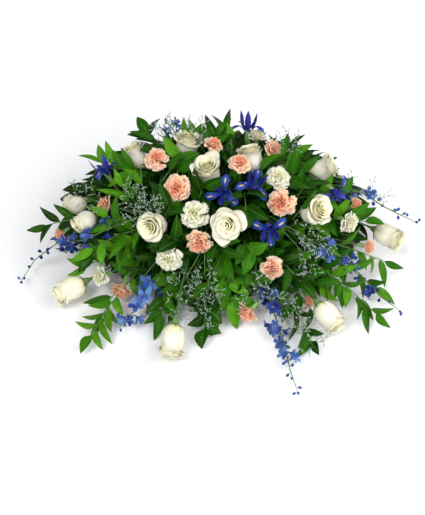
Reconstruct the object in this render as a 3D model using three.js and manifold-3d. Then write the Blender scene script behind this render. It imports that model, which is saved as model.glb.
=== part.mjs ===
// A casket spray: cut roses, carnations, irises, delphinium and sea lavender among ruscus greens,
// all stuck in a brick of wet floral foam that sits in a low plastic tray.
// Millimetres, +Z up, +X to the spray's right, -Y to its front. The tray's underside is at z = 0,
// and its middle is the origin. Flowers and greens that trail reach down to just above that surface.
import * as THREE from "three";
import { ConvexGeometry } from "three/addons/geometries/ConvexGeometry.js";
import { mergeVertices } from "three/addons/utils/BufferGeometryUtils.js";
import Module from "manifold-3d";

const wasm = await Module();
wasm.setup();

// Driving dimensions
const TRAY = { length: 380, width: 132, height: 44, wall: 3, floor: 3, corner: 24, foot: 10 };
const FOAM = { length: 340, width: 104, bottom: 3.4, top: 104 };
const CORE = { x: 300, y: 165, z: 130, base: 48 }; // the mound of short greens over the foam
const DOME = { x: 450, y: 260, z: 250 }; // the flower heads' middles lie on this half-ellipsoid
const CLEARANCE = 0.5; // the gap kept between two pieces that meet
const LOWEST = 1; // how far above the surface the trailing pieces stay
const ROSE = { width: 66, length: 75 };
const CARNATION = { width: 56, height: 34 };
const IRIS = { fall: 40, standard: 46, width: 21 };
const LEAF = { length: 62, width: 26 };
const LEAF_JOINT = 14; // cubic millimetres that a leaf's base shares with what it grows from, at most
const FLORET = 15; // reach of a delphinium petal
const TWIGS = 11; // on each sea lavender spray
const STEM = { head: 2.1, spike: 1.9, leafy: 1.5, depth: 16 }; // radii, and the depth that stands in the foam
const SIDE_SPLIT = 100; // the greens are four bodies: left, right, and a front and a back between them

// The front view: places are given as seen from far in front and above, as [across, up]
// in millimetres on the plane through the origin that faces the viewer.
const VIEW = { distance: 3000, lift: THREE.MathUtils.degToRad(45) };
const RIGHT = new THREE.Vector3(1, 0, 0);
const UP = new THREE.Vector3(0, Math.sin(VIEW.lift), Math.cos(VIEW.lift));
const TOWARD = new THREE.Vector3(0, -Math.cos(VIEW.lift), Math.sin(VIEW.lift));

const vec = (x, y, z) => new THREE.Vector3(x, y, z);
const along = (start, direction, distance) => start.clone().addScaledVector(direction, distance);

// A repeatable draw from 0 to 1 for each whole number.
function draw(seed) {
  const wave = Math.sin(seed * 12.9898 + 4.1414) * 43758.5453;
  return wave - Math.floor(wave);
}

// Where the viewer's line through [across, up] first meets the dome, or the level z = rest.
function place([across, up], rest = 42, behind = 0) {
  const eye = TOWARD.clone().multiplyScalar(VIEW.distance);
  const seen = RIGHT.clone().multiplyScalar(across).addScaledVector(UP, up);
  const line = seen.sub(eye).normalize();
  const e = vec(eye.x / DOME.x, eye.y / DOME.y, eye.z / DOME.z);
  const d = vec(line.x / DOME.x, line.y / DOME.y, line.z / DOME.z);
  const half = e.dot(d);
  const room = half * half - d.dot(d) * (e.dot(e) - 1);
  const toDome = (-half - Math.sqrt(Math.max(room, 0))) / d.dot(d);
  const toLevel = (rest - eye.z) / line.z;
  return along(eye, line, Math.min(toDome, toLevel) + behind);
}

// A direction given by its turn in the picture, anticlockwise from the right, and its tip to the viewer.
function facing(turn, tip) {
  const t = THREE.MathUtils.degToRad(turn);
  const lean = THREE.MathUtils.degToRad(tip);
  return RIGHT.clone()
    .multiplyScalar(Math.cos(lean) * Math.cos(t))
    .addScaledVector(UP, Math.cos(lean) * Math.sin(t))
    .addScaledVector(TOWARD, Math.sin(lean));
}

// The way out of the dome at a point.
const outward = (p) => vec(p.x / DOME.x ** 2, p.y / DOME.y ** 2, Math.max(p.z, 20) / DOME.z ** 2).normalize();

// A place on the dome by bearing about +Z and rise above the surface, in degrees.
function onDome(bearing, rise, reach = 1) {
  const b = THREE.MathUtils.degToRad(bearing);
  const r = THREE.MathUtils.degToRad(rise);
  return vec(
    DOME.x * Math.cos(r) * Math.cos(b),
    DOME.y * Math.cos(r) * Math.sin(b),
    DOME.z * Math.sin(r),
  ).multiplyScalar(reach);
}

// Heads seen from the front: [across, up, turn, tip, size, how far behind the dome].
const ROSES = [
  [-190, 172, 118, 22, 0.92, 40],
  [-70, 196, 75, 36, 1, 10],
  [-22, 132, 105, 52, 1.02, 0],
  [-150, 4, 205, 72, 1.08, -6],
  [24, 10, 262, 78, 1.12, -8],
  [228, 40, 15, 58, 1.04, 0],
  [250, 140, 28, 24, 0.98, 20],
  [404, -18, -28, 30, 1.04, 0],
  [-316, 14, 205, 38, 0.9, -12],
  [-338, 58, 168, 16, 0.85, 50],
  [-352, -146, 207, 20, 1.14, 0],
  [-106, -270, 262, 12, 1.06, 0],
  [264, -212, -52, 20, 1.08, 0],
  [80, 166, 100, 26, 0.96, 18],
];
const WHITE_CARNATIONS = [
  [142, 118, 80, 70, 1, 0],
  [-52, 32, 150, 72, 1.14, -4],
  [-112, -72, 250, 66, 1.1, 0],
  [306, 14, -30, 34, 0.95, 0],
  [-272, -112, 200, 34, 0.85, -14],
  [92, 216, 85, 24, 0.8, 40],
];
const PEACH_CARNATIONS = [
  [-142, 160, 95, 62, 1.02, -14],
  [-94, 92, 200, 72, 1.14, -4],
  [52, 150, 95, 55, 0.92, -34],
  [-10, 194, 60, 40, 0.82, -20],
  [130, 184, 35, 40, 0.84, 0],
  [150, 58, 215, 58, 1.18, -4],
  [-42, -34, 262, 46, 1.06, 0],
  [126, -94, 290, 62, 1.02, 0],
  [-224, -142, 248, 12, 0.98, 0],
  [72, -198, 225, 12, 0.92, 0],
  [-262, 52, 170, 22, 0.84, 0],
  [-366, -12, 215, 15, 0.66, 10],
  [322, 54, 18, 15, 0.72, 0],
  [352, -42, -12, 12, 0.74, 0],
  [210, -168, -70, 20, 0.7, 26],
];
const IRISES = [
  [-262, 136, 120, 14, 0.98, 0],
  [72, 236, 88, 10, 1.02, 10],
  [14, 82, 250, 74, 1, -10],
  [84, 100, 60, 66, 1, 6],
  [120, -4, 275, 66, 1.05, -4],
  [274, 84, -48, 22, 1.02, -8],
];

// Heads on the far side: [bearing, rise, reach, size].
const FAR_ROSES = [[116, 12, 0.86, 1.02]];
const FAR_PEACH = [[66, 10, 0.86, 1]];

// Delphinium spikes: points from the lowest floret to the tip, [across, up], the level they lie at,
// and how many open florets and buds they carry.
const SPIKES = {
  delphinium_left: {
    rest: 24,
    florets: 9,
    buds: 6,
    points: [[-246, 2], [-320, -30], [-368, -32], [-402, -52], [-436, -82], [-462, -128]],
  },
  delphinium_front_left: {
    rest: 30,
    florets: 8,
    buds: 2,
    points: [[-136, -116], [-156, -144], [-186, -184], [-230, -234]],
  },
  delphinium_front: {
    rest: 22,
    florets: 11,
    buds: 6,
    points: [[118, -142], [136, -210], [156, -270], [168, -328], [190, -396]],
  },
  delphinium_right: {
    rest: 30,
    florets: 9,
    buds: 5,
    points: [[236, -38], [286, -62], [334, -106], [356, -140], [394, -168], [436, -200]],
  },
  delphinium_far_right: {
    rest: 40,
    florets: 5,
    buds: 6,
    points: [[284, 100], [326, 92], [364, 66], [424, 36], [470, 16]],
  },
  delphinium_top: {
    rest: 40,
    behind: 46,
    florets: 5,
    buds: 2,
    points: [[-92, 210], [-104, 236], [-122, 258]],
  },
};

// Sea lavender: points from where a spray forks to its tip, [across, up], and the level it lies at.
const LAVENDER = {
  sea_lavender_left: { rest: 34, points: [[-160, 0], [-186, 40], [-190, 80]] },
  sea_lavender_front_left: { rest: 26, points: [[-50, -76], [-84, -132], [-88, -212]] },
  sea_lavender_front: { rest: 20, points: [[100, -150], [190, -196], [224, -282]] },
  sea_lavender_right: { rest: 34, points: [[160, 4], [196, -12], [236, -48]] },
  sea_lavender_top: { rest: 40, points: [[-106, 180], [-120, 206], [-132, 236]] },
};

// Ruscus stems seen from the front: [bend], [tip], the level they lie at, and how many leaves.
const RUSCUS_SEEN = [
  [[-320, 28], [-400, 8], 26, 6],
  [[-225, 138], [-272, 154], 40, 7],
  [[-124, 190], [-160, 224], 40, 8],
  [[-60, 195], [-66, 214], 40, 3],
  [[-20, 190], [2, 216], 40, 6],
  [[40, 190], [34, 208], 40, 4],
  [[120, 156], [172, 172], 40, 7],
  [[158, 110], [186, 132], 40, 5],
  [[250, 66], [304, 80], 40, 6],
  [[290, 18], [346, 16], 34, 6],
  [[290, -40], [392, -76], 22, 8],
  [[280, -110], [372, -202], 14, 9],
  [[200, -110], [240, -138], 26, 6],
  [[180, -190], [222, -268], 10, 8],
  [[20, -80], [34, -172], 14, 9],
  [[-20, -130], [-32, -238], 10, 6],
  [[-90, -120], [-132, -204], 12, 7],
  [[-225, -130], [-298, -254], 10, 9],
  [[-240, -56], [-306, -88], 16, 8],
  [[-230, -12], [-292, -48], 26, 4],
];
const RUSCUS_FILL = { stems: 3, leaves: 4 }; // shorter stems that fill the dome all round
// Single leaves that cover the core: how many, their size, how far they stand off it and turn
// aside as shares of their length, and how deep their roots may be sunk.
const CORE_LEAVES = { count: 152, length: 88, width: 42, lean: 0.75, sway: 0.6, depths: [2, 4, 6, 8, 10] };
const GOLDEN_TURN = Math.PI * (3 - Math.sqrt(5));

const rosePlaces = ROSES.map(seenHead).concat(FAR_ROSES.map(farHead));
const whitePlaces = WHITE_CARNATIONS.map(seenHead);
const peachPlaces = PEACH_CARNATIONS.map(seenHead).concat(FAR_PEACH.map(farHead));
const irisPlaces = IRISES.map(seenHead);

function seenHead([across, up, turn, tip, size, behind]) {
  return { middle: place([across, up], 40, behind), faces: facing(turn, tip), size };
}

function farHead([bearing, rise, reach, size]) {
  const middle = onDome(bearing, rise, reach);
  return { middle, faces: outward(middle), size };
}

// Solids

function solidOf(geometry) {
  const bare = new THREE.BufferGeometry().setAttribute("position", geometry.getAttribute("position"));
  bare.setIndex(geometry.index);
  const merged = mergeVertices(bare, 1e-4);
  const triVerts = new Uint32Array(merged.index.array);
  const vertProperties = merged.attributes.position.array;
  const made = new wasm.Manifold(new wasm.Mesh({ numProp: 3, vertProperties, triVerts }));
  if (made.volume() > 0) return made;
  for (let i = 0; i < triVerts.length; i += 3)
    [triVerts[i + 1], triVerts[i + 2]] = [triVerts[i + 2], triVerts[i + 1]];
  return new wasm.Manifold(new wasm.Mesh({ numProp: 3, vertProperties, triVerts }));
}

function geometryOf(points, faces) {
  const flat = new Float32Array(points.flatMap((p) => [p.x, p.y, p.z]));
  return new THREE.BufferGeometry()
    .setAttribute("position", new THREE.BufferAttribute(flat, 3))
    .setIndex(faces.flat());
}

function pointsOf(solid) {
  const { vertProperties, numProp, numVert } = solid.getMesh();
  const found = [];
  for (let i = 0; i < numVert; i++) found.push(vec(...vertProperties.subarray(i * numProp, i * numProp + 3)));
  return found;
}

const fuse = (solids) => solids.reduce((sum, s) => sum.add(s));

function largestBody(solid) {
  const bodies = solid.decompose();
  return bodies.reduce((best, b) => (b.volume() > best.volume() ? b : best));
}

// A stem's centre line as the straight runs of its tube, so that what grows from it is rooted in it.
function runsOf(curve, steps) {
  const points = curve.getSpacedPoints(steps);
  const path = new THREE.CurvePath();
  for (let i = 0; i < steps; i++) path.add(new THREE.LineCurve3(points[i], points[i + 1]));
  return path;
}

// The convex space round some points, grown by the clearance.
function keepOut(points, grow = CLEARANCE * 2) {
  const middle = points.reduce((sum, p) => sum.add(p), vec(0, 0, 0)).divideScalar(points.length);
  const pushed = points.map((p) => along(p, p.clone().sub(middle).normalize(), grow));
  return solidOf(new ConvexGeometry(pushed));
}

const apart = (a, b) => {
  const one = a.boundingBox();
  const two = b.boundingBox();
  return [0, 1, 2].some((i) => one.min[i] > two.max[i] || two.min[i] > one.max[i]);
};

const cutClear = (solid, spaces) =>
  spaces.reduce((left, space) => (apart(left, space) ? left : left.subtract(space)), solid);

const touches = (solid, spaces, allowed = 0) =>
  spaces.some((space) => !apart(solid, space) && solid.intersect(space).volume() > allowed);

// A three-sided stem through stations { at, radius }, closed at both ends; a radius of 0 makes a point.
function stemThrough(stations) {
  const points = [];
  const rings = [];
  let side = vec(0.31, 0.17, 1);
  stations.forEach(({ at, radius }, k) => {
    const before = stations[Math.max(k - 1, 0)].at;
    const after = stations[Math.min(k + 1, stations.length - 1)].at;
    const ahead = after.clone().sub(before).normalize();
    side = along(side, ahead, -side.dot(ahead)).normalize();
    const other = ahead.clone().cross(side);
    const ring = [0, 1, 2].map((i) => {
      const turn = (i / 3) * 2 * Math.PI;
      const rim = along(along(at, side, radius * Math.cos(turn)), other, radius * Math.sin(turn));
      return radius || !i ? points.push(rim) - 1 : points.length - 1;
    });
    rings.push(ring);
  });
  const [first, last] = [rings[0], rings.at(-1)];
  const faces = [[first[0], first[2], first[1]], [...last]];
  for (let k = 1; k < rings.length; k++)
    for (let i = 0; i < 3; i++) {
      const j = (i + 1) % 3;
      const [a, b, c, d] = [rings[k - 1][i], rings[k - 1][j], rings[k][i], rings[k][j]];
      faces.push([a, b, d], [a, d, c]);
    }
  const whole = faces.filter(([a, b, c]) => a !== b && b !== c && c !== a);
  return { solid: solidOf(geometryOf(points, whole)), points };
}

// A stem of one width along a curve, in straight runs.
function tube(curve, radius, steps) {
  return stemThrough(curve.getSpacedPoints(steps).map((at) => ({ at, radius }))).solid;
}

// A thin closed blade along stations { at, side, up, half }; it comes to a point at both ends.
function blade(first, stations, last, thickness) {
  const points = [first];
  for (const { at, side, up, half, fold = 0 } of stations) {
    points.push(
      along(along(at, side, -half), up, fold * half),
      along(at, up, thickness / 2),
      along(along(at, side, half), up, fold * half),
      along(at, up, -thickness / 2),
    );
  }
  points.push(last);
  const end = points.length - 1;
  const faces = [];
  const ringAt = (s) => 1 + 4 * s;
  for (let i = 0; i < 4; i++) {
    const j = (i + 1) % 4;
    faces.push([0, ringAt(0) + i, ringAt(0) + j]);
    for (let s = 1; s < stations.length; s++) {
      const [a, b, c, d] = [ringAt(s - 1) + i, ringAt(s - 1) + j, ringAt(s) + i, ringAt(s) + j];
      faces.push(i % 2 ? [a, c, b] : [a, c, d], i % 2 ? [b, c, d] : [a, d, b]);
    }
    faces.push([ringAt(stations.length - 1) + i, end, ringAt(stations.length - 1) + j]);
  }
  return solidOf(geometryOf(points, faces));
}

// A leaf's outline: stations along it as [share of its length, lift of its ridge, half its width].
const RUSCUS_OUTLINE = [[0.34, 0.06, 0.5], [0.72, 0.05, 0.34]];
const SHORT_OUTLINE = [[0.42, 0.07, 0.5]];

// A ruscus leaf: an arched blade, ridged along its top and flat below, from its base along a direction.
function leaf(base, direction, up, length, width, outline = RUSCUS_OUTLINE) {
  const side = direction.clone().cross(up).normalize();
  const normal = side.clone().cross(direction).normalize();
  const at = (share, lift, out) =>
    along(along(along(base, direction, length * share), normal, length * lift), side, width * out);
  const rows = outline.map(([share, lift, half]) => [
    at(share, lift - 0.04, -half),
    at(share, lift, 0),
    at(share, lift - 0.04, half),
  ]);
  const points = [base, ...rows.flat(), at(1, -0.04, 0)];
  const tip = points.length - 1;
  const root = [[0, 1, 2], [0, 2, 3], [0, 3, 1]];
  const point = [[tip - 3, tip, tip - 2], [tip - 2, tip, tip - 1], [tip - 3, tip - 1, tip]];
  const faces = [...root, ...point];
  for (let a = 1; a + 3 < tip; a += 3) {
    const [b, c, d, e, f] = [a + 1, a + 2, a + 3, a + 4, a + 5];
    faces.push([a, d, e], [a, e, b], [b, e, f], [b, f, c], [a, c, f], [a, f, d]);
  }
  return solidOf(geometryOf(points, faces));
}

// The frame of a head that faces a direction: local +Z faces out, and the origin is at its middle.
function headFrame({ middle, faces, size }, spin) {
  const turn = new THREE.Quaternion().setFromUnitVectors(vec(0, 0, 1), faces);
  turn.multiply(new THREE.Quaternion().setFromAxisAngle(vec(0, 0, 1), spin));
  return new THREE.Matrix4().compose(middle, turn, vec(size, size, size));
}

// A closed surface made of rings of points round +Z, a point below them and a point above.
function ringedSolid(bottom, rings, top, sides) {
  const points = [vec(0, 0, bottom)];
  for (const ring of rings)
    for (let i = 0; i < sides; i++) {
      const { radius, z } = ring(i);
      const turn = ((i + (ring.shift ?? 0)) / sides) * Math.PI * 2;
      points.push(vec(radius * Math.cos(turn), radius * Math.sin(turn), z));
    }
  points.push(vec(0, 0, top));
  const last = points.length - 1;
  const lastRing = 1 + (rings.length - 1) * sides;
  const faces = [];
  for (let i = 0; i < sides; i++) {
    const j = (i + 1) % sides;
    faces.push([0, 1 + j, 1 + i], [lastRing + i, lastRing + j, last]);
    for (let low = 1; low < lastRing; low += sides)
      faces.push([low + i, low + j, low + sides + j], [low + i, low + sides + j, low + sides + i]);
  }
  return solidOf(geometryOf(points, faces));
}

// Roses: a bud with a rolled rim inside five petals that open outwards.
function rosePetal(centreTurn) {
  const half = ROSE.length / 2;
  const at = (radius, turn, z) => vec(radius * Math.cos(turn), radius * Math.sin(turn), z);
  const row = (reach, halfSpan, z, drop) =>
    [-1, 0, 1].map((column) =>
      at(reach * (1 + 0.075 * column), centreTurn + halfSpan * column, z - drop * column * column),
    );
  const root = at(3, centreTurn, -half * 0.6);
  const belly = row(ROSE.width * 0.43, 0.66, half * 0.05, 2);
  const rim = row(ROSE.width * 0.5, 0.72, half * 0.78, 7);
  const lining = at(ROSE.width * 0.43 - 3, centreTurn, half * 0.05);
  const outside = [[0, 1, 2], [0, 2, 3], [1, 4, 2], [2, 4, 5], [2, 5, 6], [2, 6, 3]];
  const inside = outside.map((face) => face.map((k) => (k === 2 ? 7 : k)).reverse());
  return solidOf(geometryOf([root, ...belly, ...rim, lining], [...outside, ...inside]));
}

function rose() {
  const half = ROSE.length / 2;
  const rolled = (radius, z, step) => (i) =>
    i % 2 ? { radius: radius * 0.84, z: z - step } : { radius: radius * 1.04, z };
  const plain = (radius, z) => () => ({ radius, z });
  const rings = [plain(18, -6), rolled(21, half * 0.86, 4), plain(12, half * 0.62), rolled(9, half, 3)];
  const petals = [ringedSolid(-half, rings, half * 0.72, 5)];
  for (let i = 0; i < 5; i++) petals.push(rosePetal(((i + 0.5) / 5) * 2 * Math.PI));
  return fuse(petals);
}

// Carnations: one closed surface whose three frilled rims are rings with a zigzag edge.
function carnation() {
  const r = CARNATION.width / 2;
  const frilled = (radius, z, depth, wave) => (i) => ({
    radius: radius * (i % 2 ? 1 + depth : 1 - depth),
    z: z + (i % 2 ? -wave : wave),
  });
  const rings = [
    frilled(r, 1, 0.09, 2.6),
    frilled(r * 0.68, 5, 0, 1),
    frilled(r * 0.8, 12, 0.1, 2.2),
    frilled(r * 0.46, 10, 0, 1),
    frilled(r * 0.5, 17, 0.16, 1.4),
  ];
  return ringedSolid(-CARNATION.height / 2, rings, 11, 10);
}

// Irises: three falls that arch out and down, three upright standards, and a short throat.
function iris() {
  const solids = [];
  for (let i = 0; i < 3; i++) {
    const fallTurn = (i / 3) * 2 * Math.PI;
    const standTurn = ((i + 0.5) / 3) * 2 * Math.PI;
    const out = vec(Math.cos(fallTurn), Math.sin(fallTurn), 0);
    const side = vec(-Math.sin(fallTurn), Math.cos(fallTurn), 0);
    const fallPoint = (reach, z) => along(vec(0, 0, z), out, reach);
    solids.push(
      blade(
        fallPoint(0, -14),
        [
          { at: fallPoint(15, 4), side, up: vec(0, 0, 1), half: 5 },
          { at: fallPoint(IRIS.fall * 0.72, 5), side, up: vec(0, 0, 1), half: IRIS.width / 2, fold: -0.2 },
        ],
        fallPoint(IRIS.fall, -8),
        2,
      ),
    );
    const lean = vec(Math.cos(standTurn), Math.sin(standTurn), 0);
    const across = vec(-Math.sin(standTurn), Math.cos(standTurn), 0);
    const standPoint = (reach, z) => along(vec(0, 0, z), lean, reach);
    solids.push(
      blade(
        standPoint(0, -12),
        [{ at: standPoint(13, 16), side: across, up: lean, half: IRIS.width * 0.36 }],
        standPoint(15, IRIS.standard - 8),
        2,
      ),
    );
  }
  const throat = [[0, -20], [4.5, -18], [5.5, -6], [3, 8], [0, 9]];
  const outline = throat.map(([radius, z]) => new THREE.Vector2(radius, z));
  solids.push(solidOf(new THREE.LatheGeometry(outline, 4).rotateX(Math.PI / 2)));
  return fuse(solids);
}

// A delphinium floret: a five-petalled star on a short spur that is sunk in the stem at its root.
function floret(root, faces, reach) {
  const turn = new THREE.Quaternion().setFromUnitVectors(vec(0, 0, 1), faces);
  const at = (share, far, out) => {
    const angle = share * 2 * Math.PI;
    const offset = vec(far * Math.cos(angle), far * Math.sin(angle), out).multiplyScalar(reach);
    return offset.applyQuaternion(turn).add(root);
  };
  const middle = along(root, faces, reach * 0.62);
  const rim = Array.from({ length: 10 }, (_, i) => (i % 2 ? at(i / 10, 0.55, 0.66) : at(i / 10, 1, 0.84)));
  const spur = [0.2, 0.55, 0.85].map((share) => at(share, 0.16, 0.4));
  const points = [root, middle, ...rim, ...spur];
  const nearest = [12, 12, 12, 12, 13, 13, 13, 14, 14, 14];
  const faceList = [];
  for (let i = 0; i < 10; i++) {
    const [here, next] = [2 + i, 2 + ((i + 1) % 10)];
    const [foot, nextFoot] = [nearest[i], nearest[(i + 1) % 10]];
    faceList.push([1, here, next], [foot, next, here]);
    if (foot !== nextFoot) faceList.push([next, foot, nextFoot], [0, nextFoot, foot]);
  }
  return { solid: solidOf(geometryOf(points, faceList)), points };
}

// A closed bud from its root to its tip, with its widest places as [share of its reach, radius].
function bud(root, faces, reach, widths) {
  const middle = widths.map(([share, radius]) => ({ at: along(root, faces, reach * share), radius }));
  return stemThrough([{ at: root, radius: 0 }, ...middle, { at: along(root, faces, reach), radius: 0 }]);
}

// A direction square to the stem, turned round it, and drawn towards the outside of the dome.
function awayFromStem(curve, t, turn, pull) {
  const at = curve.getPoint(t);
  const ahead = curve.getTangent(t);
  const out = outward(at);
  const side = ahead.clone().cross(out).normalize();
  const rise = side.clone().cross(ahead).normalize();
  return side
    .multiplyScalar(Math.cos(turn))
    .addScaledVector(rise, Math.sin(turn))
    .addScaledVector(rise, pull)
    .addScaledVector(ahead, 0.25)
    .normalize();
}

// A stem with what grows from it: each piece joins it unless that piece would touch an earlier neighbour.
class Sprig {
  constructor(curve, radius, steps) {
    this.runs = runsOf(curve, steps);
    this.solid = cutClear(tube(curve, radius, steps), taken);
    this.own = [tube(curve, radius + CLEARANCE * 2, steps)];
  }

  join(solid, points) {
    if (touches(solid, taken)) return;
    this.solid = this.solid.add(solid);
    this.own.push(keepOut(points));
  }
}

function spike({ points, rest, florets, buds, behind = 0 }, seed) {
  const curve = new THREE.CatmullRomCurve3(points.map((p) => place(p, rest, behind)));
  const sprig = new Sprig(curve, 1.7, points.length + 1);
  const count = florets + buds;
  for (let i = 0; i < count; i++) {
    const t = (i + 0.35) / count;
    const faces = awayFromStem(sprig.runs, t, i * 2.4 + draw(seed + i), 0.55);
    const root = sprig.runs.getPoint(t);
    const reach = i < florets ? FLORET * (1.2 - 0.35 * t) : 13 - 4 * t;
    const made = i < florets ? floret(root, faces, reach) : bud(root, faces, reach, [[0.62, reach * 0.36]]);
    sprig.join(made.solid, made.points);
  }
  return sprig;
}

// Sea lavender: a wiry stem with thin twigs that end in tiny flowers, made larger than life.
function lavender({ points, rest }, seed) {
  const curve = new THREE.CatmullRomCurve3(points.map((p) => place(p, rest, -14)));
  const sprig = new Sprig(curve, 1.1, 3);
  for (let i = 0; i < TWIGS; i++) {
    const t = 0.06 + (0.93 * i) / (TWIGS - 1);
    const root = sprig.runs.getPoint(t);
    const away = awayFromStem(sprig.runs, t, i % 2 ? 0.5 : 2.6, 0.1 + 0.4 * draw(seed + i));
    const way = away.addScaledVector(sprig.runs.getTangent(t), 0.2 + 0.7 * draw(seed + i + 30)).normalize();
    const length = (50 + 24 * draw(seed + i + 50)) * (1 - 0.35 * t);
    way.z = Math.max(way.z, (8 - root.z) / length);
    const made = bud(root, way.normalize(), length, [[1 - 12 / length, 0.8], [1 - 5 / length, 4.2]]);
    sprig.join(made.solid, made.points);
  }
  return sprig;
}

// The tray: a low dish with rounded corners that stands on four feet and a middle pad.
function roundedBox(length, width, corner, bottom, top) {
  const [x, y] = [length / 2, width / 2];
  const shape = new THREE.Shape();
  shape.moveTo(-x + corner, -y);
  shape.lineTo(x - corner, -y);
  shape.absarc(x - corner, -y + corner, corner, -Math.PI / 2, 0);
  shape.lineTo(x, y - corner);
  shape.absarc(x - corner, y - corner, corner, 0, Math.PI / 2);
  shape.lineTo(-x + corner, y);
  shape.absarc(-x + corner, y - corner, corner, Math.PI / 2, Math.PI);
  shape.lineTo(-x, -y + corner);
  shape.absarc(-x + corner, -y + corner, corner, Math.PI, Math.PI * 1.5);
  const settings = { depth: top - bottom, bevelEnabled: false, curveSegments: 2 };
  return solidOf(new THREE.ExtrudeGeometry(shape, settings).translate(0, 0, bottom));
}

function tray() {
  const { length, width, height, wall, floor, corner, foot } = TRAY;
  const outside = roundedBox(length - foot, width - foot, corner - foot / 2, 0, height);
  const rim = roundedBox(length, width, corner, height - 4, height);
  const inside = roundedBox(
    length - foot - 2 * wall,
    width - foot - 2 * wall,
    corner - foot / 2 - wall,
    floor,
    height + 5,
  );
  return outside.add(rim).subtract(inside);
}

function foamBox(grow) {
  const { length, width, bottom, top } = FOAM;
  const made = new THREE.BoxGeometry(length + 2 * grow, width + 2 * grow, top - bottom + 2 * grow);
  return solidOf(made.translate(0, 0, (top + bottom) / 2));
}

// Which of the four greens a place belongs to.
function quarterOf({ x, y }) {
  if (x < -SIDE_SPLIT) return "left";
  if (x > SIDE_SPLIT) return "right";
  return y < 0 ? "front" : "back";
}

// Where a stem on its way to a place starts in the foam: above the tray's rim, inside its own quarter.
function foamPoint(toward) {
  const between = Math.abs(toward.x) < SIDE_SPLIT;
  const farAlong = Math.min((Math.abs(toward.x) - SIDE_SPLIT) / (DOME.x - SIDE_SPLIT), 1);
  const x = between ? toward.x * 0.85 : Math.sign(toward.x) * (SIDE_SPLIT + 14 + 40 * farAlong);
  const y = between ? Math.sign(toward.y) * 16 : THREE.MathUtils.clamp(toward.y * 0.25, -34, 34);
  const inside = vec(x, y, CORE.base + 8 + 0.22 * toward.z);
  const way = toward.clone().sub(inside);
  const share = (room, run) => (Math.abs(run) > 1e-6 ? room / Math.abs(run) : Infinity);
  const out = Math.min(
    share(FOAM.length / 2 - Math.abs(x), way.x),
    share(FOAM.width / 2 - Math.sign(way.y) * y, way.y),
    share(FOAM.top - inside.z, Math.max(way.z, 0)),
  );
  return along(inside, way, Math.max(out - STEM.depth / way.length(), 0));
}

// Where a leafy stem on its way to a place leaves the core, a little below the core's surface.
function corePoint(toward, quarter) {
  const from = vec(0, 0, CORE.base);
  const way = intoQuarter(toward, quarter, 14).sub(from);
  way.z = Math.max(way.z, 14);
  const size = Math.hypot(way.x / CORE.x, way.y / CORE.y, way.z / CORE.z);
  return intoQuarter(along(from, way, 0.94 / size), quarter, 8);
}

// The core, one quarter of a mound of short greens with a hollow for the foam.
function coreOf(quarter) {
  const mound = new THREE.SphereGeometry(1, 14, 6).rotateX(Math.PI / 2).scale(CORE.x, CORE.y, CORE.z);
  mound.translate(0, 0, CORE.base);
  const gap = CLEARANCE / 2;
  const between = [[[1, 0, 0], gap - SIDE_SPLIT], [[-1, 0, 0], gap - SIDE_SPLIT]];
  const cuts = {
    left: [[[-1, 0, 0], SIDE_SPLIT + gap]],
    right: [[[1, 0, 0], SIDE_SPLIT + gap]],
    front: [...between, [[0, -1, 0], gap]],
    back: [...between, [[0, 1, 0], gap]],
  };
  const low = solidOf(mound).trimByPlane([0, 0, 1], CORE.base).subtract(foamBox(CLEARANCE));
  return cuts[quarter].reduce((left, [normal, offset]) => left.trimByPlane(normal, offset), low);
}

// The ways in which a stem's bend may move so that the stem passes clear of what is in its way.
const NUDGES = [0, 14, 28, 42, 60].flatMap((far) => {
  const ways = [vec(0, 0, far), vec(far, 0, 0), vec(0, far, 0)].flatMap((way) => [way, way.clone().negate()]);
  return far ? ways : ways.slice(0, 1);
});

function firstClear(paths, radius, rest) {
  const clear = paths.find((path) => !touches(tube(path, radius, 2), rest));
  return clear ?? paths[0];
}

// Moves a point into its quarter of the greens, clear of the planes where the quarters meet.
function intoQuarter(point, quarter, room = 6) {
  const { x, y, z } = point;
  const middle = THREE.MathUtils.clamp(x, room - SIDE_SPLIT, SIDE_SPLIT - room);
  if (quarter === "left") return vec(Math.min(x, -SIDE_SPLIT - room), y, z);
  if (quarter === "right") return vec(Math.max(x, SIDE_SPLIT + room), y, z);
  return vec(middle, quarter === "front" ? Math.min(y, -room) : Math.max(y, room), z);
}

// A stem from the foam to what it carries, which it reaches along a direction. It bends clear of the rest.
// It may end in a calyx, a cup as long as 2.6 of its radius.
function stemTo(seat, ahead, radius, rest, calyx = 0) {
  const quarter = quarterOf(seat);
  const base = along(seat, ahead, -2.6 * calyx);
  const straight = along(base, ahead, -0.3 * base.length());
  const paths = NUDGES.map((nudge) => {
    const bend = intoQuarter(straight.clone().add(nudge), quarter);
    bend.z = Math.max(bend.z, CORE.base + 16);
    return new THREE.QuadraticBezierCurve3(foamPoint(bend), bend, base);
  });
  const [start, middle, end] = firstClear(paths, radius, rest).getSpacedPoints(2);
  const first = middle.clone().sub(start).normalize();
  const stations = (grow) => {
    const bare = [along(start, first, -grow), middle, end].map((at) => ({ at, radius: radius + grow }));
    return calyx ? [...bare, { at: seat, radius: calyx + grow }] : bare;
  };
  const withGap = stemThrough(stations(2 * CLEARANCE));
  return { quarter, solid: stemThrough(stations(0)).solid, space: withGap.solid };
}

function headStem({ middle, faces, size, root, calyx }) {
  const seat = along(middle, faces, -root * size - 2 * CLEARANCE - 0.6);
  return stemTo(seat, faces, STEM.head, spaces, calyx * size);
}

// True where a leaf would stand in a head, or between a head and whoever looks at its face.
function inTheWay(middle, tip) {
  return heads.some(({ middle: centre, faces, reach }) => {
    if (middle.distanceTo(centre) < reach * 0.95 || tip.distanceTo(centre) < reach * 0.85) return true;
    const gap = middle.clone().sub(centre);
    const ahead = gap.dot(faces);
    return ahead > 0 && ahead < 60 && gap.addScaledVector(faces, -ahead).length() < reach * 0.75;
  });
}

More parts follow.
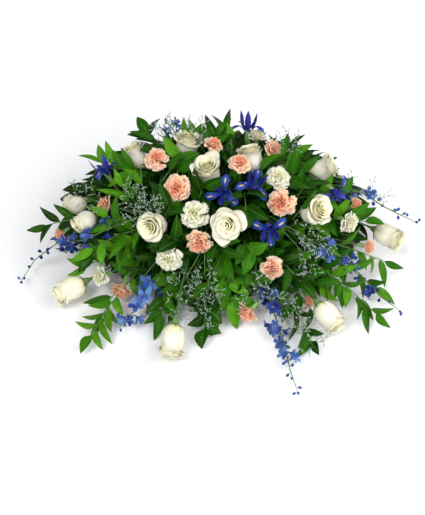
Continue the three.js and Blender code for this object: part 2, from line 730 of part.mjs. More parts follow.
// A leaf from its root along a direction, or nothing where it would stand in a head's way.
function leafAt(root, direction, up, length, width, outline) {
  const way = direction.clone().setZ(Math.max(direction.z, (8 - root.z) / length)).normalize();
  if (inTheWay(along(root, way, length * 0.55), along(root, way, length))) return [];
  return [leaf(along(root, way, -0.3), way, up, length, width, outline)];
}

// The leaves of a leafy stem: they alternate on both sides, and the last one stands at its tip.
function leavesOf({ curve, count, from, seed }) {
  const runs = runsOf(curve, 2);
  return Array.from({ length: count }, (_, i) => {
    const last = i === count - 1;
    const t = last ? 0.995 : from + ((1 - from) * i) / (count - 1);
    const root = runs.getPoint(t);
    const ahead = runs.getTangent(t);
    const out = outward(root);
    const side = ahead.clone().cross(out).normalize();
    const spread = last ? 0 : (i % 2 ? 1 : -1) * (0.75 + 0.35 * draw(seed + i));
    const direction = ahead
      .multiplyScalar(Math.cos(spread))
      .addScaledVector(side, Math.sin(spread))
      .addScaledVector(out, 0.1 + 0.3 * draw(seed + i + 20))
      .normalize();
    const up = out.applyAxisAngle(direction, (draw(seed + i + 60) - 0.5) * 0.9);
    const length = LEAF.length * (0.78 + 0.4 * draw(seed + i + 40));
    return leafAt(root, direction, up, length, LEAF.width * (0.85 + 0.3 * draw(seed + i + 80)));
  }).flat();
}

// Leaves that stand out of the core, spread evenly over it. They lean down it, as shingles lie on a roof.
// Each is given rooted at several depths, because the core's facets lie at different depths.
function coreLeaves(quarter) {
  const { count, length, width, lean, sway, depths } = CORE_LEAVES;
  return Array.from({ length: count }, (_, i) => {
    const height = (i + 0.5) / count;
    const bearing = i * GOLDEN_TURN;
    const flat = Math.sqrt(1 - height * height);
    const ball = vec(flat * Math.cos(bearing), flat * Math.sin(bearing), height);
    const surface = vec(ball.x * CORE.x, ball.y * CORE.y, CORE.base + ball.z * CORE.z);
    if (quarterOf(surface) !== quarter) return [];
    const out = vec(ball.x / CORE.x, ball.y / CORE.y, ball.z / CORE.z).normalize();
    const level = vec(Math.cos(bearing) * CORE.x, Math.sin(bearing) * CORE.y, 0).multiplyScalar(height);
    const down = level.setZ(-flat * CORE.z).normalize();
    const direction = down
      .clone()
      .addScaledVector(out.clone().cross(down), sway * (2 * draw(i + 8000) - 1))
      .addScaledVector(out, lean * (0.67 + 0.66 * draw(i + 8200)))
      .normalize();
    const size = [length * (0.85 + 0.3 * draw(i + 8100)), width, SHORT_OUTLINE];
    return [depths.flatMap((depth) => leafAt(along(surface, out, -depth), direction, out, ...size))];
  }).flat();
}

function leafyStems() {
  const bent = (elbow, tip, rest) => {
    const quarter = quarterOf(tip);
    const paths = NUDGES.map((nudge) => {
      const bend = intoQuarter(elbow.clone().add(nudge), quarter);
      return new THREE.QuadraticBezierCurve3(corePoint(bend, quarter), bend, tip);
    });
    return firstClear(paths, STEM.leafy, rest);
  };
  const seen = RUSCUS_SEEN.map(([bend, tip, rest, count], i) => {
    const elbow = along(place(bend, rest + 14, 10), vec(0, 0, 1), 6);
    return { curve: bent(elbow, place(tip, rest, -18), spaces), count, from: 0.3, seed: 2000 + 100 * i };
  });
  const fill = Array.from({ length: RUSCUS_FILL.stems }, (_, i) => {
    const rise = THREE.MathUtils.radToDeg(Math.asin(0.05 + (0.8 * (i + 0.5)) / RUSCUS_FILL.stems));
    const bearing = 150 - 120 * draw(i + 7100) + (i % 3 ? 0 : 180);
    const tip = onDome(bearing, rise, 0.96 + 0.1 * draw(i + 7000));
    tip.z = Math.max(tip.z, 16);
    const curve = bent(onDome(bearing, rise + 8, 0.8), tip, spaces);
    return { curve, count: RUSCUS_FILL.leaves, from: 0.3, seed: 4000 + 100 * i };
  });
  return [...seen, ...fill];
}

// Assembly: the heads and their stems first, then the spikes and sprays, then the greens round them all
const finished = new Map();
const spaces = []; // what the greens keep out of
const heads = [];
function addHeads(kind, places, solid, { reach, root, calyx }) {
  places.forEach((head, i) => {
    const spin = 2 * Math.PI * draw(i * 7 + kind.length);
    const made = solid.transform(headFrame(head, spin).elements).trimByPlane([0, 0, 1], LOWEST);
    finished.set(`${kind}_${i + 1}`, largestBody(cutClear(made, spaces)));
    const space = keepOut(pointsOf(made));
    spaces.push(space);
    heads.push({ ...head, space, reach: reach * head.size, root, calyx });
  });
}
const carnationSolid = carnation();
const carnationSeat = { reach: CARNATION.width / 2, root: CARNATION.height / 2, calyx: 6 };
addHeads("rose", rosePlaces, rose(), { reach: ROSE.width / 2, root: ROSE.length / 2, calyx: 7.5 });
addHeads("carnation_white", whitePlaces, carnationSolid, carnationSeat);
addHeads("carnation_peach", peachPlaces, carnationSolid, carnationSeat);
addHeads("iris", irisPlaces, iris(), { reach: 24, root: 20, calyx: 5 });

const stems = heads.map(headStem);
const taken = [...spaces, ...stems.map(({ space }) => space)]; // what the spikes and sprays keep out of
function addSprig(name, sprig) {
  finished.set(name, largestBody(sprig.solid.trimByPlane([0, 0, 1], LOWEST)));
  spaces.push(...sprig.own);
  taken.push(...sprig.own);
  const headSpaces = heads.map(({ space }) => space);
  stems.push(stemTo(sprig.runs.getPoint(0), sprig.runs.getTangent(0), STEM.spike, headSpaces));
}
Object.entries(SPIKES).forEach(([name, layout], i) => addSprig(name, spike(layout, 300 + 100 * i)));
Object.entries(LAVENDER).forEach(([name, layout], i) => addSprig(name, lavender(layout, 1300 + 100 * i)));

const trayBlock = roundedBox(TRAY.length + 1, TRAY.width + 1, TRAY.corner, -1, TRAY.height + CLEARANCE);
const inTray = trayBlock.subtract(foamBox(CLEARANCE));
const leafy = leafyStems();
const quarters = [];
for (const quarter of ["left", "right", "front", "back"]) {
  const ownLeafy = leafy.filter(({ curve }) => quarterOf(curve.getPoint(1)) === quarter);
  const ownStems = stems.filter((stem) => stem.quarter === quarter);
  const otherStems = stems.filter((stem) => stem.quarter !== quarter).map(({ space }) => space);
  const leafyTubes = ownLeafy.map(({ curve }) => tube(curve, STEM.leafy, 2));
  const firm = fuse([coreOf(quarter), ...ownStems.map(({ solid }) => solid), ...leafyTubes]);
  const blocked = [...spaces, ...quarters, inTray];
  let body = largestBody(cutClear(firm, blocked));
  blocked.push(...otherStems);
  const rooted = (blade) => touches(blade, [body]) && !touches(blade, [body], LEAF_JOINT);
  const onStems = ownLeafy.flatMap(leavesOf).map((blade) => [blade]);
  for (const choices of [...onStems, ...coreLeaves(quarter)]) {
    const blade = choices.find((choice) => !touches(choice, blocked) && rooted(choice));
    if (blade) body = body.add(blade);
  }
  body = body.trimByPlane([0, 0, 1], LOWEST);
  quarters.push(body);
  finished.set(`greens_${quarter}`, body);
}

finished.set("floral_foam", largestBody(cutClear(foamBox(0), stems.map(({ space }) => space))));
finished.set("tray", tray());

// Materials and the group
const COLOURS = {
  rose: ["#f0edd6", 0.6],
  carnation_white: ["#f4f3ec", 0.7],
  carnation_peach: ["#f3b798", 0.7],
  iris: ["#2c35b4", 0.55],
  delphinium: ["#3a58c4", 0.55],
  sea_lavender: ["#b9c4bb", 0.8],
  greens: ["#2f6b1c", 0.45],
  floral_foam: ["#2d5a38", 0.95],
  tray: ["#2b3a2c", 0.5],
};

function meshOf(name, solid) {
  const { vertProperties, numProp, numVert, triVerts } = solid.getMesh();
  const flat = new Float32Array(numVert * 3);
  for (let i = 0; i < numVert; i++) flat.set(vertProperties.subarray(i * numProp, i * numProp + 3), i * 3);
  const geometry = new THREE.BufferGeometry()
    .setAttribute("position", new THREE.BufferAttribute(flat, 3))
    .setIndex(new THREE.BufferAttribute(triVerts, 1));
  geometry.computeVertexNormals();
  const [colour, roughness] = COLOURS[Object.keys(COLOURS).find((kind) => name.startsWith(kind))];
  const material = new THREE.MeshStandardMaterial({ color: colour, roughness, metalness: 0 });
  const mesh = new THREE.Mesh(geometry, material);
  mesh.name = name;
  return mesh;
}

const spray = new THREE.Group();
for (const [name, solid] of finished) spray.add(meshOf(name, solid));
export default spray;
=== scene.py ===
"""A casket spray: cut roses, carnations, irises, delphinium and sea lavender among ruscus greens.

Every flower head, spike, spray and leafy stem is a set of surfaces worked out with numpy: thin closed
blades on a grid of two parameters, and rods with a profile carried along a path. Lengths in this file
are millimetres until a mesh is made, apart from the studio's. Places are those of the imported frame:
+X to the spray's right, -Y to its front, +Z up, with the origin in the middle of the tray's underside.
"""

from math import comb

import bpy
import numpy as np
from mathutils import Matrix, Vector


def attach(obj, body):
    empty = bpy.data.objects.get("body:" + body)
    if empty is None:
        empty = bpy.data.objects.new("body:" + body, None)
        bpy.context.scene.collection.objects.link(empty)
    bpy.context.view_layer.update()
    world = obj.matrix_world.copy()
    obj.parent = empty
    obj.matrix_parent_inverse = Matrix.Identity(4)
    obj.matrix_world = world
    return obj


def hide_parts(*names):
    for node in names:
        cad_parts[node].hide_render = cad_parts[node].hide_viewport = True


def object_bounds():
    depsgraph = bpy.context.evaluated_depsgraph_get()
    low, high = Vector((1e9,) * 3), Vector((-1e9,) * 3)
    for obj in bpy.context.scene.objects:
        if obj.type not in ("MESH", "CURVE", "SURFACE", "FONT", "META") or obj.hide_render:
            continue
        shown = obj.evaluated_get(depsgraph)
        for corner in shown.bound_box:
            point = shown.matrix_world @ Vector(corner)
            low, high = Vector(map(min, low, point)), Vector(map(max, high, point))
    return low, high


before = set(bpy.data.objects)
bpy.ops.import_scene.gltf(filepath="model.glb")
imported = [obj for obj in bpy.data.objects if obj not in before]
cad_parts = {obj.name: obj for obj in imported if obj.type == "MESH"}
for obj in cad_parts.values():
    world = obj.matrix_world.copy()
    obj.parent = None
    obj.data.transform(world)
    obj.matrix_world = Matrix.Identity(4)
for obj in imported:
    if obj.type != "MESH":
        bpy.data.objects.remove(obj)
cad_box = [list(corner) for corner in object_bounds()]
random = np.random.default_rng(41)

MM = 0.001
LOW, HIGH = np.array(cad_box) / MM
ROOM = np.array([26.0, 24.0, 12.0])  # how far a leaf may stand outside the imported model's box
DOME = np.array([450.0, 260.0, 250.0])  # half-axes of the dome on which the heads' middles lie
CORE = np.array([300.0, 165.0, 130.0])  # half-axes of the mound of short greens over the foam
CORE_BASE = 48.0  # the level on which that mound stands
SIDE_SPLIT = 100.0  # the greens are four bodies: left, right, and a front and a back between them
TRAY = {"length": 380, "width": 132, "height": 44, "floor": 3, "corner": 24}
FOAM = {"length": 340, "width": 104, "corner": 7, "bottom": 3.4, "top": 104}
LEAF = {"length": 64, "width": 29, "thickness": 0.6}
GOLDEN_TURN = np.pi * (3 - 5**0.5)
LOWEST = 1.5  # the level of the lowest petals and leaves
HANG = 8  # the level down to which leaves and twigs may point

# The front view, in which places are given as [across, up] on the plane through the origin
VIEW_DISTANCE = 3000.0
LIFT = np.radians(45)
RIGHT, UPRIGHT = np.array([1.0, 0.0, 0.0]), np.array([0.0, 0.0, 1.0])
UP = np.array([0.0, np.sin(LIFT), np.cos(LIFT)])
TOWARD = np.array([0.0, -np.cos(LIFT), np.sin(LIFT)])

# Heads seen from the front: across, up, turn, tip, size, how far behind the dome
SEEN_HEADS = {
    "rose": [
        (-190, 172, 118, 22, 0.92, 40), (-70, 196, 75, 36, 1, 10), (-22, 132, 105, 52, 1.02, 0),
        (-150, 4, 205, 72, 1.08, -6), (24, 10, 262, 78, 1.12, -8), (228, 40, 15, 58, 1.04, 0),
        (250, 140, 28, 24, 0.98, 20), (404, -18, -28, 30, 1.04, 0), (-316, 14, 205, 38, 0.9, -12),
        (-338, 58, 168, 16, 0.85, 50), (-352, -146, 207, 20, 1.14, 0), (-106, -270, 262, 12, 1.06, 0),
        (264, -212, -52, 20, 1.08, 0), (80, 166, 100, 26, 0.96, 18),
    ],
    "carnation_white": [
        (142, 118, 80, 70, 1, 0), (-52, 32, 150, 72, 1.14, -4), (-112, -72, 250, 66, 1.1, 0),
        (306, 14, -30, 34, 0.95, 0), (-272, -112, 200, 34, 0.85, -14), (92, 216, 85, 24, 0.8, 40),
    ],
    "carnation_peach": [
        (-142, 160, 95, 62, 1.02, -14), (-94, 92, 200, 72, 1.14, -4), (52, 150, 95, 55, 0.92, -34),
        (-10, 194, 60, 40, 0.82, -20), (130, 184, 35, 40, 0.84, 0), (150, 58, 215, 58, 1.18, -4),
        (-42, -34, 262, 46, 1.06, 0), (126, -94, 290, 62, 1.02, 0), (-224, -142, 248, 12, 0.98, 0),
        (72, -198, 225, 12, 0.92, 0), (-262, 52, 170, 22, 0.84, 0), (-366, -12, 215, 15, 0.66, 10),
        (322, 54, 18, 15, 0.72, 0), (352, -42, -12, 12, 0.74, 0), (210, -168, -70, 20, 0.7, 26),
    ],
    "iris": [
        (-262, 136, 120, 14, 0.98, 0), (72, 236, 88, 10, 1.02, 10), (14, 82, 250, 74, 1, -10),
        (84, 100, 60, 66, 1, 6), (120, -4, 275, 66, 1.05, -4), (274, 84, -48, 22, 1.02, -8),
    ],
}
# Heads on the far side: bearing, rise, reach, size
FAR_HEADS = {"rose": [(116, 12, 0.86, 1.02)], "carnation_peach": [(66, 10, 0.86, 1)]}

# Delphinium spikes: the level they lie at, how far behind the dome, open florets, buds, the florets'
# size, how pale they are at the foot and at the tip, and points from foot to tip
SPIKES = {
    "left": (
        24, 0, 11, 10, 0.95, (0.1, 0.1),
        [[-246, 2], [-320, -30], [-368, -32], [-402, -52], [-436, -82], [-462, -128]],
    ),
    "front_left": (
        30, 0, 9, 1, 1.25, (0.5, 0.55),
        [[-136, -116], [-156, -144], [-186, -184], [-230, -234]],
    ),
    "front": (
        22, 0, 15, 8, 1.0, (0.0, 0.9),
        [[118, -142], [136, -210], [156, -270], [168, -328], [190, -396]],
    ),
    "right": (
        30, 0, 12, 5, 1.0, (0.5, 0.2),
        [[236, -38], [286, -62], [334, -106], [356, -140], [394, -168], [436, -200]],
    ),
    "far_right": (
        40, 0, 5, 10, 0.9, (0.8, 0.3),
        [[284, 100], [326, 92], [364, 66], [424, 36], [470, 16]],
    ),
    "top": (
        40, 46, 6, 2, 1.0, (0.5, 0.7),
        [[-92, 210], [-104, 236], [-122, 258]],
    ),
}
# Sea lavender: each node's sprays as the level they lie at, their twigs, and points from fork to tip
SPRAYS = {
    "left": [
        (34, 9, [[-160, 0], [-186, 40], [-190, 80]]), (34, 8, [[-150, -4], [-158, 26], [-154, 56]]),
        (34, 6, [[-250, 50], [-292, 66], [-330, 80]]),
    ],
    "front_left": [
        (26, 10, [[-50, -76], [-84, -132], [-88, -212]]),
        (26, 8, [[-30, -60], [-30, -110], [-14, -150]]),
        (26, 7, [[-20, -120], [-24, -180], [-20, -230]]),
    ],
    "front": [
        (20, 12, [[100, -150], [190, -196], [224, -282]]),
        (20, 9, [[96, -130], [166, -180], [190, -250]]), (20, 6, [[90, -120], [84, -150], [104, -110]]),
    ],
    "right": [
        (34, 9, [[160, 4], [196, -12], [236, -48]]), (34, 6, [[176, -30], [200, -60], [206, -90]]),
        (34, 5, [[290, 84], [340, 86], [384, 66]]),
    ],
    "top": [
        (40, 6, [[-106, 180], [-120, 206], [-130, 230]]), (40, 6, [[-40, 196], [-46, 216], [-46, 232]]),
        (40, 6, [[130, 160], [154, 182], [168, 202]]),
    ],
}
SPRAY_DEPTH = -14  # how far behind the dome they lie

# Ruscus stems seen from the front: bend, tip, the level they lie at, and how many leaves
RUSCUS_SEEN = [
    ([-320, 28], [-400, 8], 26, 6), ([-225, 138], [-272, 154], 40, 7),
    ([-124, 190], [-160, 224], 40, 8), ([-60, 195], [-66, 214], 40, 3), ([-20, 190], [2, 216], 40, 6),
    ([40, 190], [34, 208], 40, 4), ([120, 156], [172, 172], 40, 7), ([158, 110], [186, 132], 40, 5),
    ([250, 66], [304, 80], 40, 6), ([290, 18], [346, 16], 34, 6), ([290, -40], [392, -76], 22, 8),
    ([280, -110], [372, -202], 14, 9), ([200, -110], [240, -138], 26, 6),
    ([180, -190], [222, -268], 10, 8), ([20, -80], [34, -172], 14, 9),
    ([-20, -130], [-32, -238], 10, 6), ([-90, -120], [-132, -204], 12, 7),
    ([-225, -130], [-298, -254], 10, 9), ([-240, -56], [-306, -88], 16, 8),
    ([-230, -12], [-292, -48], 26, 4),
]
YOUNG = {10, 14, 17, 18}  # the stems among them whose leaves are young and light
# More leafy stems that hang over the front in this view, between those above
DRAPES = [
    ([-220, -100], [-270, -206], 14, 7), ([-150, -90], [-184, -130], 20, 5),
    ([-80, -110], [-98, -186], 14, 6), ([-20, -100], [-14, -200], 6, 6), ([50, -60], [80, -156], 6, 7),
    ([60, -80], [98, -116], 24, 5), ([160, -90], [196, -126], 24, 5), ([190, -150], [246, -226], 14, 7),
    ([250, -90], [324, -166], 18, 7), ([300, -80], [370, -138], 20, 7),
    ([-250, -20], [-292, -66], 22, 5),
]
# Sprigs that stand out between the heads in this view: foot, tip, leaves
SPRIGS = [
    ([-96, 118], [-86, 172], 6), ([-176, 96], [-180, 150], 5), ([-140, 96], [-112, 134], 4),
    ([14, 180], [22, 226], 6), ([98, 134], [110, 166], 3), ([62, 84], [68, 40], 6),
    ([186, 72], [212, 108], 5), ([-44, 66], [-30, 106], 5), ([-124, 26], [-106, 60], 4),
    ([-206, 60], [-222, 96], 5), ([-226, 10], [-256, 26], 4), ([176, 20], [196, 44], 4),
    ([-4, -30], [14, -70], 5), ([60, -30], [88, -64], 5), ([-92, -30], [-122, -16], 4),
]
SHOOTS = 220  # short leafy shoots that fill the dome between the heads, all round
SHOOT_LEAVES = 6
SHOOT_LENGTH = 115  # how much of a shoot bears leaves
FILL = {"left": 0.66, "right": 0.8, "back": 0.92}  # how far the shoots reach, as shares of the dome
CORE_LEAVES = 480  # they lie on the mound over the foam like shingles


# Places and directions


def unit(v):
    """Vectors along the last axis, scaled to length 1."""
    return v / np.maximum(np.linalg.norm(v, axis=-1, keepdims=True), 1e-9)


def draw(seed):
    """A repeatable draw from 0 to 1 for each seed: the fraction of a large sine. Each use adds a
    number of its own to its seeds, so that no two draw alike."""
    wave = np.sin(np.asarray(seed, float) * 12.9898 + 4.1414) * 43758.5453
    return wave - np.floor(wave)


def place(seen, rest, behind):
    """Where the viewer's lines through [across, up] first meet the dome or the level z = rest, and so
    far behind that along the line. On the dome, the point's coordinates over its half-axes make a
    vector of length 1, which is a quadratic equation for the distance from the eye."""
    seen = np.asarray(seen, float)
    eye = TOWARD * VIEW_DISTANCE
    line = unit(seen[..., :1] * RIGHT + seen[..., 1:] * UP - eye)
    e, d = eye / DOME, line / DOME
    square, half = (d * d).sum(-1), d @ e
    to_dome = (-half - np.sqrt(np.maximum(half**2 - square * (e @ e - 1), 0))) / square
    to_level = (rest - eye[2]) / line[..., 2]
    return eye + line * (np.minimum(to_dome, to_level) + behind)[..., None]


def facing(turn, tip):
    """A direction by its turn in the picture, anticlockwise from the right, and its tip to the viewer."""
    turn, tip = np.radians(turn), np.radians(tip)
    return np.cos(tip) * (np.cos(turn) * RIGHT + np.sin(turn) * UP) + np.sin(tip) * TOWARD


def outward(p):
    """The way out of the dome at each point."""
    lifted = np.concatenate([p[..., :2], np.maximum(p[..., 2:], 20)], -1)
    return unit(lifted / DOME**2)


def on_dome(bearing, rise, reach):
    """A place in the dome by bearing about +Z and rise above the surface, in degrees."""
    b, r = np.radians(bearing), np.radians(rise)
    return DOME * [np.cos(r) * np.cos(b), np.cos(r) * np.sin(b), np.sin(r)] * reach


def turned_from_z(faces, spin):
    """The rotation that takes +Z to a direction by the shortest way, after a spin about +Z."""
    x, y, z = faces
    cross = np.array([[0, 0, x], [0, 0, y], [-x, -y, 0]])
    shortest = np.eye(3) + cross + cross @ cross / (1 + z)
    c, s = np.cos(spin), np.sin(spin)
    return shortest @ np.array([[c, -s, 0], [s, c, 0], [0, 0, 1]])


def turned(first, second, angle):
    """Directions from the first towards the second by an angle."""
    angle = np.asarray(angle)[..., None]
    return first * np.cos(angle) + second * np.sin(angle)


def square_to(faces):
    """For each direction, two unit vectors square to it and to each other."""
    first = unit(np.cross(faces, np.array([0.23, 0.41, 0.88])))
    return first, np.cross(faces, first)


def rays(start, way, reach):
    """Points from each start along its way, at each of its distances."""
    return start[..., None, :] + way[..., None, :] * np.asarray(reach)[..., None]


def drawn_curve(controls, share):
    """A curve from its first control to its last, drawn towards those between. At share s of the way,
    control k of n counts (n over k) times (1 - s) to the power n - k times s to the power k."""
    n = len(controls) - 1
    return sum(comb(n, k) * (1 - share) ** (n - k) * share**k * c for k, c in enumerate(controls))


class Path:
    """A smooth line, kept as many short runs and read by its share of the length."""

    def __init__(self, points):
        steps = np.linalg.norm(np.diff(points, axis=0), axis=1)
        self.points, self.length = points, steps.sum()
        self.share = np.concatenate([[0], np.cumsum(steps)]) / self.length

    @classmethod
    def through(cls, knots):
        """A smooth curve through its knots: each run is a cubic, and at each knot the curve heads the way
        of the line from the knot before to the knot after."""
        knots = np.vstack([2 * knots[0] - knots[1], knots, 2 * knots[-1] - knots[-2]])
        a, b, c, d = (knots[i : len(knots) - 3 + i, None] for i in range(4))
        s = np.linspace(0, 1, 12, endpoint=False)[:, None]
        square, cube = (2 * a - 5 * b + 4 * c - d) * s**2, (3 * b - a - 3 * c + d) * s**3
        runs = 0.5 * (2 * b + (c - a) * s + square + cube)
        return cls(np.vstack([runs.reshape(-1, 3), knots[-2]]))

    @classmethod
    def bent(cls, start, bend, end):
        """A parabola from a start to an end, drawn towards a bend."""
        return cls(drawn_curve([start, bend, end], np.linspace(0, 1, 16)[:, None]))

    def at(self, t):
        """Points at shares of the length."""
        return np.stack([np.interp(t, self.share, self.points[:, i]) for i in range(3)], -1)

    def ahead(self, t):
        """Directions along the line, from a fiftieth before each share to a fiftieth past it."""
        return unit(self.at(np.minimum(t + 0.02, 1)) - self.at(np.maximum(t - 0.02, 0)))


# Meshes


def quads(index):
    """The four-cornered faces between neighbours in a grid of point numbers."""
    return np.stack([index[:-1, :-1], index[:-1, 1:], index[1:, 1:], index[1:, :-1]], -1).reshape(-1, 4)


def ring_faces(rings, sides):
    """The walls between rings of points and the fans that close them: the points are numbered from
    the first end's middle, ring by ring, to the last end's middle."""
    i = np.arange(sides)
    j = (i + 1) % sides
    low = 1 + sides * np.arange(rings - 1)[:, None]
    walls = np.stack([low + i, low + j, low + sides + j, low + sides + i], -1).reshape(-1, 4)
    top = 1 + sides * (rings - 1)
    first = np.stack([0 * i, 1 + j, 1 + i], -1)
    last = np.stack([top + i, top + j, 0 * i + top + sides], -1)
    return [walls, np.concatenate([first, last])]


class Piece:
    """The mesh of one piece of the spray, gathered from blades and rods."""

    def __init__(self, *finishes):
        self.finishes = list(finishes)
        self.points, self.faces = [], []
        self.count = 0

    def add(self, finish, points, groups, uv, rim, tint, layer):
        """Like shapes in one finish: points (shapes, points, 3), and for one shape its groups of faces,
        its map, and which points lie on a sharp rim. Each shape has its own tint and layer."""
        n, size, _ = points.shape
        each = (np.repeat(np.broadcast_to(value, n), size) for value in (tint, layer))
        self.points.append((points.reshape(-1, 3), np.tile(uv, (n, 1)), np.tile(rim, n), *each))
        starts = self.count + size * np.arange(n)[:, None, None]
        for group in groups:
            faces = n * len(group)
            wears = np.full(faces, self.finishes.index(finish))
            self.faces.append(((group + starts).ravel(), np.full(faces, group.shape[1]), wears))
        self.count += n * size

    def blades(self, grids, thickness, finish, tint=0.5, layer=0.5):
        """Thin closed blades from grids shaped (blades, rows, columns, 3). The two faces lie half the
        thickness above and below each grid along its normal, and meet in a sharp edge at its rim."""
        n, rows, cols, _ = grids.shape
        normal = unit(np.cross(np.gradient(grids, axis=2), np.gradient(grids, axis=1)))
        lift = (normal * thickness / 2)[:, 1:-1, 1:-1]
        above = grids.copy()
        above[:, 1:-1, 1:-1] += lift
        below = grids[:, 1:-1, 1:-1] - lift
        upper = np.arange(rows * cols).reshape(rows, cols)
        lower = upper.copy()
        lower[1:-1, 1:-1] = rows * cols + np.arange((rows - 2) * (cols - 2)).reshape(rows - 2, cols - 2)
        v, u = np.meshgrid(np.linspace(0, 1, rows), np.linspace(0, 1, cols), indexing="ij")
        uv = np.stack([u, v], -1)
        edge = np.ones((rows, cols), bool)
        edge[1:-1, 1:-1] = False
        self.add(
            finish,
            np.concatenate([above.reshape(n, -1, 3), below.reshape(n, -1, 3)], 1),
            [np.concatenate([quads(upper), quads(lower)[:, ::-1]])],
            np.concatenate([uv.reshape(-1, 2), uv[1:-1, 1:-1].reshape(-1, 2)]),
            np.concatenate([edge.ravel(), edge[1:-1, 1:-1].ravel()]),
            tint,
            layer,
        )

    def rods(self, centres, radii, sides, finish, tint=0.5, layer=0.5):
        """Closed rods of one count of stations, centres (rods, stations, 3) and radii (rods, stations).
        A ring square to the path stands at each inner station, and the first and last are points."""
        n, stations, _ = centres.shape
        radii = np.broadcast_to(radii, (n, stations))
        ahead = unit(np.gradient(centres, axis=1))
        side = unit(np.cross(ahead[:, 0], np.array([0.31, 0.17, 1.0])))
        turns = np.linspace(0, 2 * np.pi, sides, endpoint=False)[None]
        rings = []
        for k in range(1, stations - 1):
            side = unit(side - (side * ahead[:, k]).sum(-1, keepdims=True) * ahead[:, k])
            spoke = turned(side[:, None], np.cross(ahead[:, k], side)[:, None], turns)
            rings.append(centres[:, k, None] + spoke * radii[:, k, None, None])
        v = np.concatenate([[0], np.repeat(np.linspace(0, 1, stations)[1:-1], sides), [1]])
        u = np.concatenate([[0.5], np.tile(np.arange(sides) / sides, stations - 2), [0.5]])
        points = np.concatenate([centres[:, :1], *rings, centres[:, -1:]], 1)
        uv, rim = np.stack([u, v], -1), np.zeros(len(u), bool)
        self.add(finish, points, ring_faces(stations - 2, sides), uv, rim, tint, layer)

    def stem(self, path, shares, radii, sides, tint):
        """A green rod along a path, with a radius at each share of the path's length."""
        self.rods(path.at(shares)[None], radii, sides, GREEN, tint)

    def finish(self, name, slot, node):
        """Makes the object, in metres, riding on the root body in place of its node."""
        points, uv, rim, tint, layer = (np.concatenate(values) for values in zip(*self.points))
        corners, sizes, wears = (np.concatenate(values) for values in zip(*self.faces))
        points[:, 2] = np.maximum(points[:, 2], 0)
        mesh = bpy.data.meshes.new(name)
        mesh.vertices.add(len(points))
        mesh.vertices.foreach_set("co", (points * MM).astype(np.float32).ravel())
        mesh.loops.add(len(corners))
        mesh.loops.foreach_set("vertex_index", corners.astype(np.int32))
        mesh.polygons.add(len(sizes))
        mesh.polygons.foreach_set("loop_start", (np.cumsum(sizes) - sizes).astype(np.int32))
        mesh.polygons.foreach_set("material_index", wears.astype(np.int32))
        mesh.update(calc_edges=True)
        uv = uv[corners].astype(np.float32)
        mesh.uv_layers.new(name="blade").uv.foreach_set("vector", uv.ravel())
        for key, value in (("tint", tint), ("layer", layer)):
            mesh.attributes.new(key, "FLOAT", "POINT").data.foreach_set("value", value.astype(np.float32))
        ends = np.zeros(len(mesh.edges) * 2, np.int32)
        mesh.edges.foreach_get("vertices", ends)
        sharp = rim[ends.reshape(-1, 2)].all(1)
        mesh.attributes.new("sharp_edge", "BOOLEAN", "EDGE").data.foreach_set("value", sharp)
        for finish in self.finishes:
            mesh.materials.append(finish)
        made = bpy.data.objects.new(name, mesh)
        bpy.context.scene.collection.objects.link(made)
        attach(made, "root")
        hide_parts(node)


def ribbons(centre, side, lift, half, cup, columns):
    """Blades along centre lines (blades, rows, 3): each reaches half its width to both sides, and its
    edges rise along lift by cup times the half width times the square of the share across."""
    t = np.linspace(-1, 1, columns)[:, None]
    half = np.broadcast_to(half, centre.shape[:2])[:, :, None, None]
    return centre[:, :, None] + side[:, :, None] * half * t + lift[:, :, None] * (cup * half * t**2)


# Finishes


class Value:
    """A number or colour that a node gives, with arithmetic: an expression adds its Math nodes."""

    def __init__(self, finish, socket):
        self.finish, self.socket = finish, socket

    def __add__(self, other):
        return self.finish.math("ADD", self, other)

    def __sub__(self, other):
        return self.finish.math("SUBTRACT", self, other)

    def __mul__(self, other):
        return self.finish.math("MULTIPLY", self, other)

    def __rsub__(self, other):
        return self.finish.math("SUBTRACT", other, self)

    __radd__, __rmul__ = __add__, __mul__

    def between(self, low, high):
        """0 at low and 1 at high, with a smooth rise between them."""
        values = {0: self, 1: low, 2: high, 3: 0.0, 4: 1.0}
        return self.finish.value("ShaderNodeMapRange", {"interpolation_type": "SMOOTHSTEP"}, values)


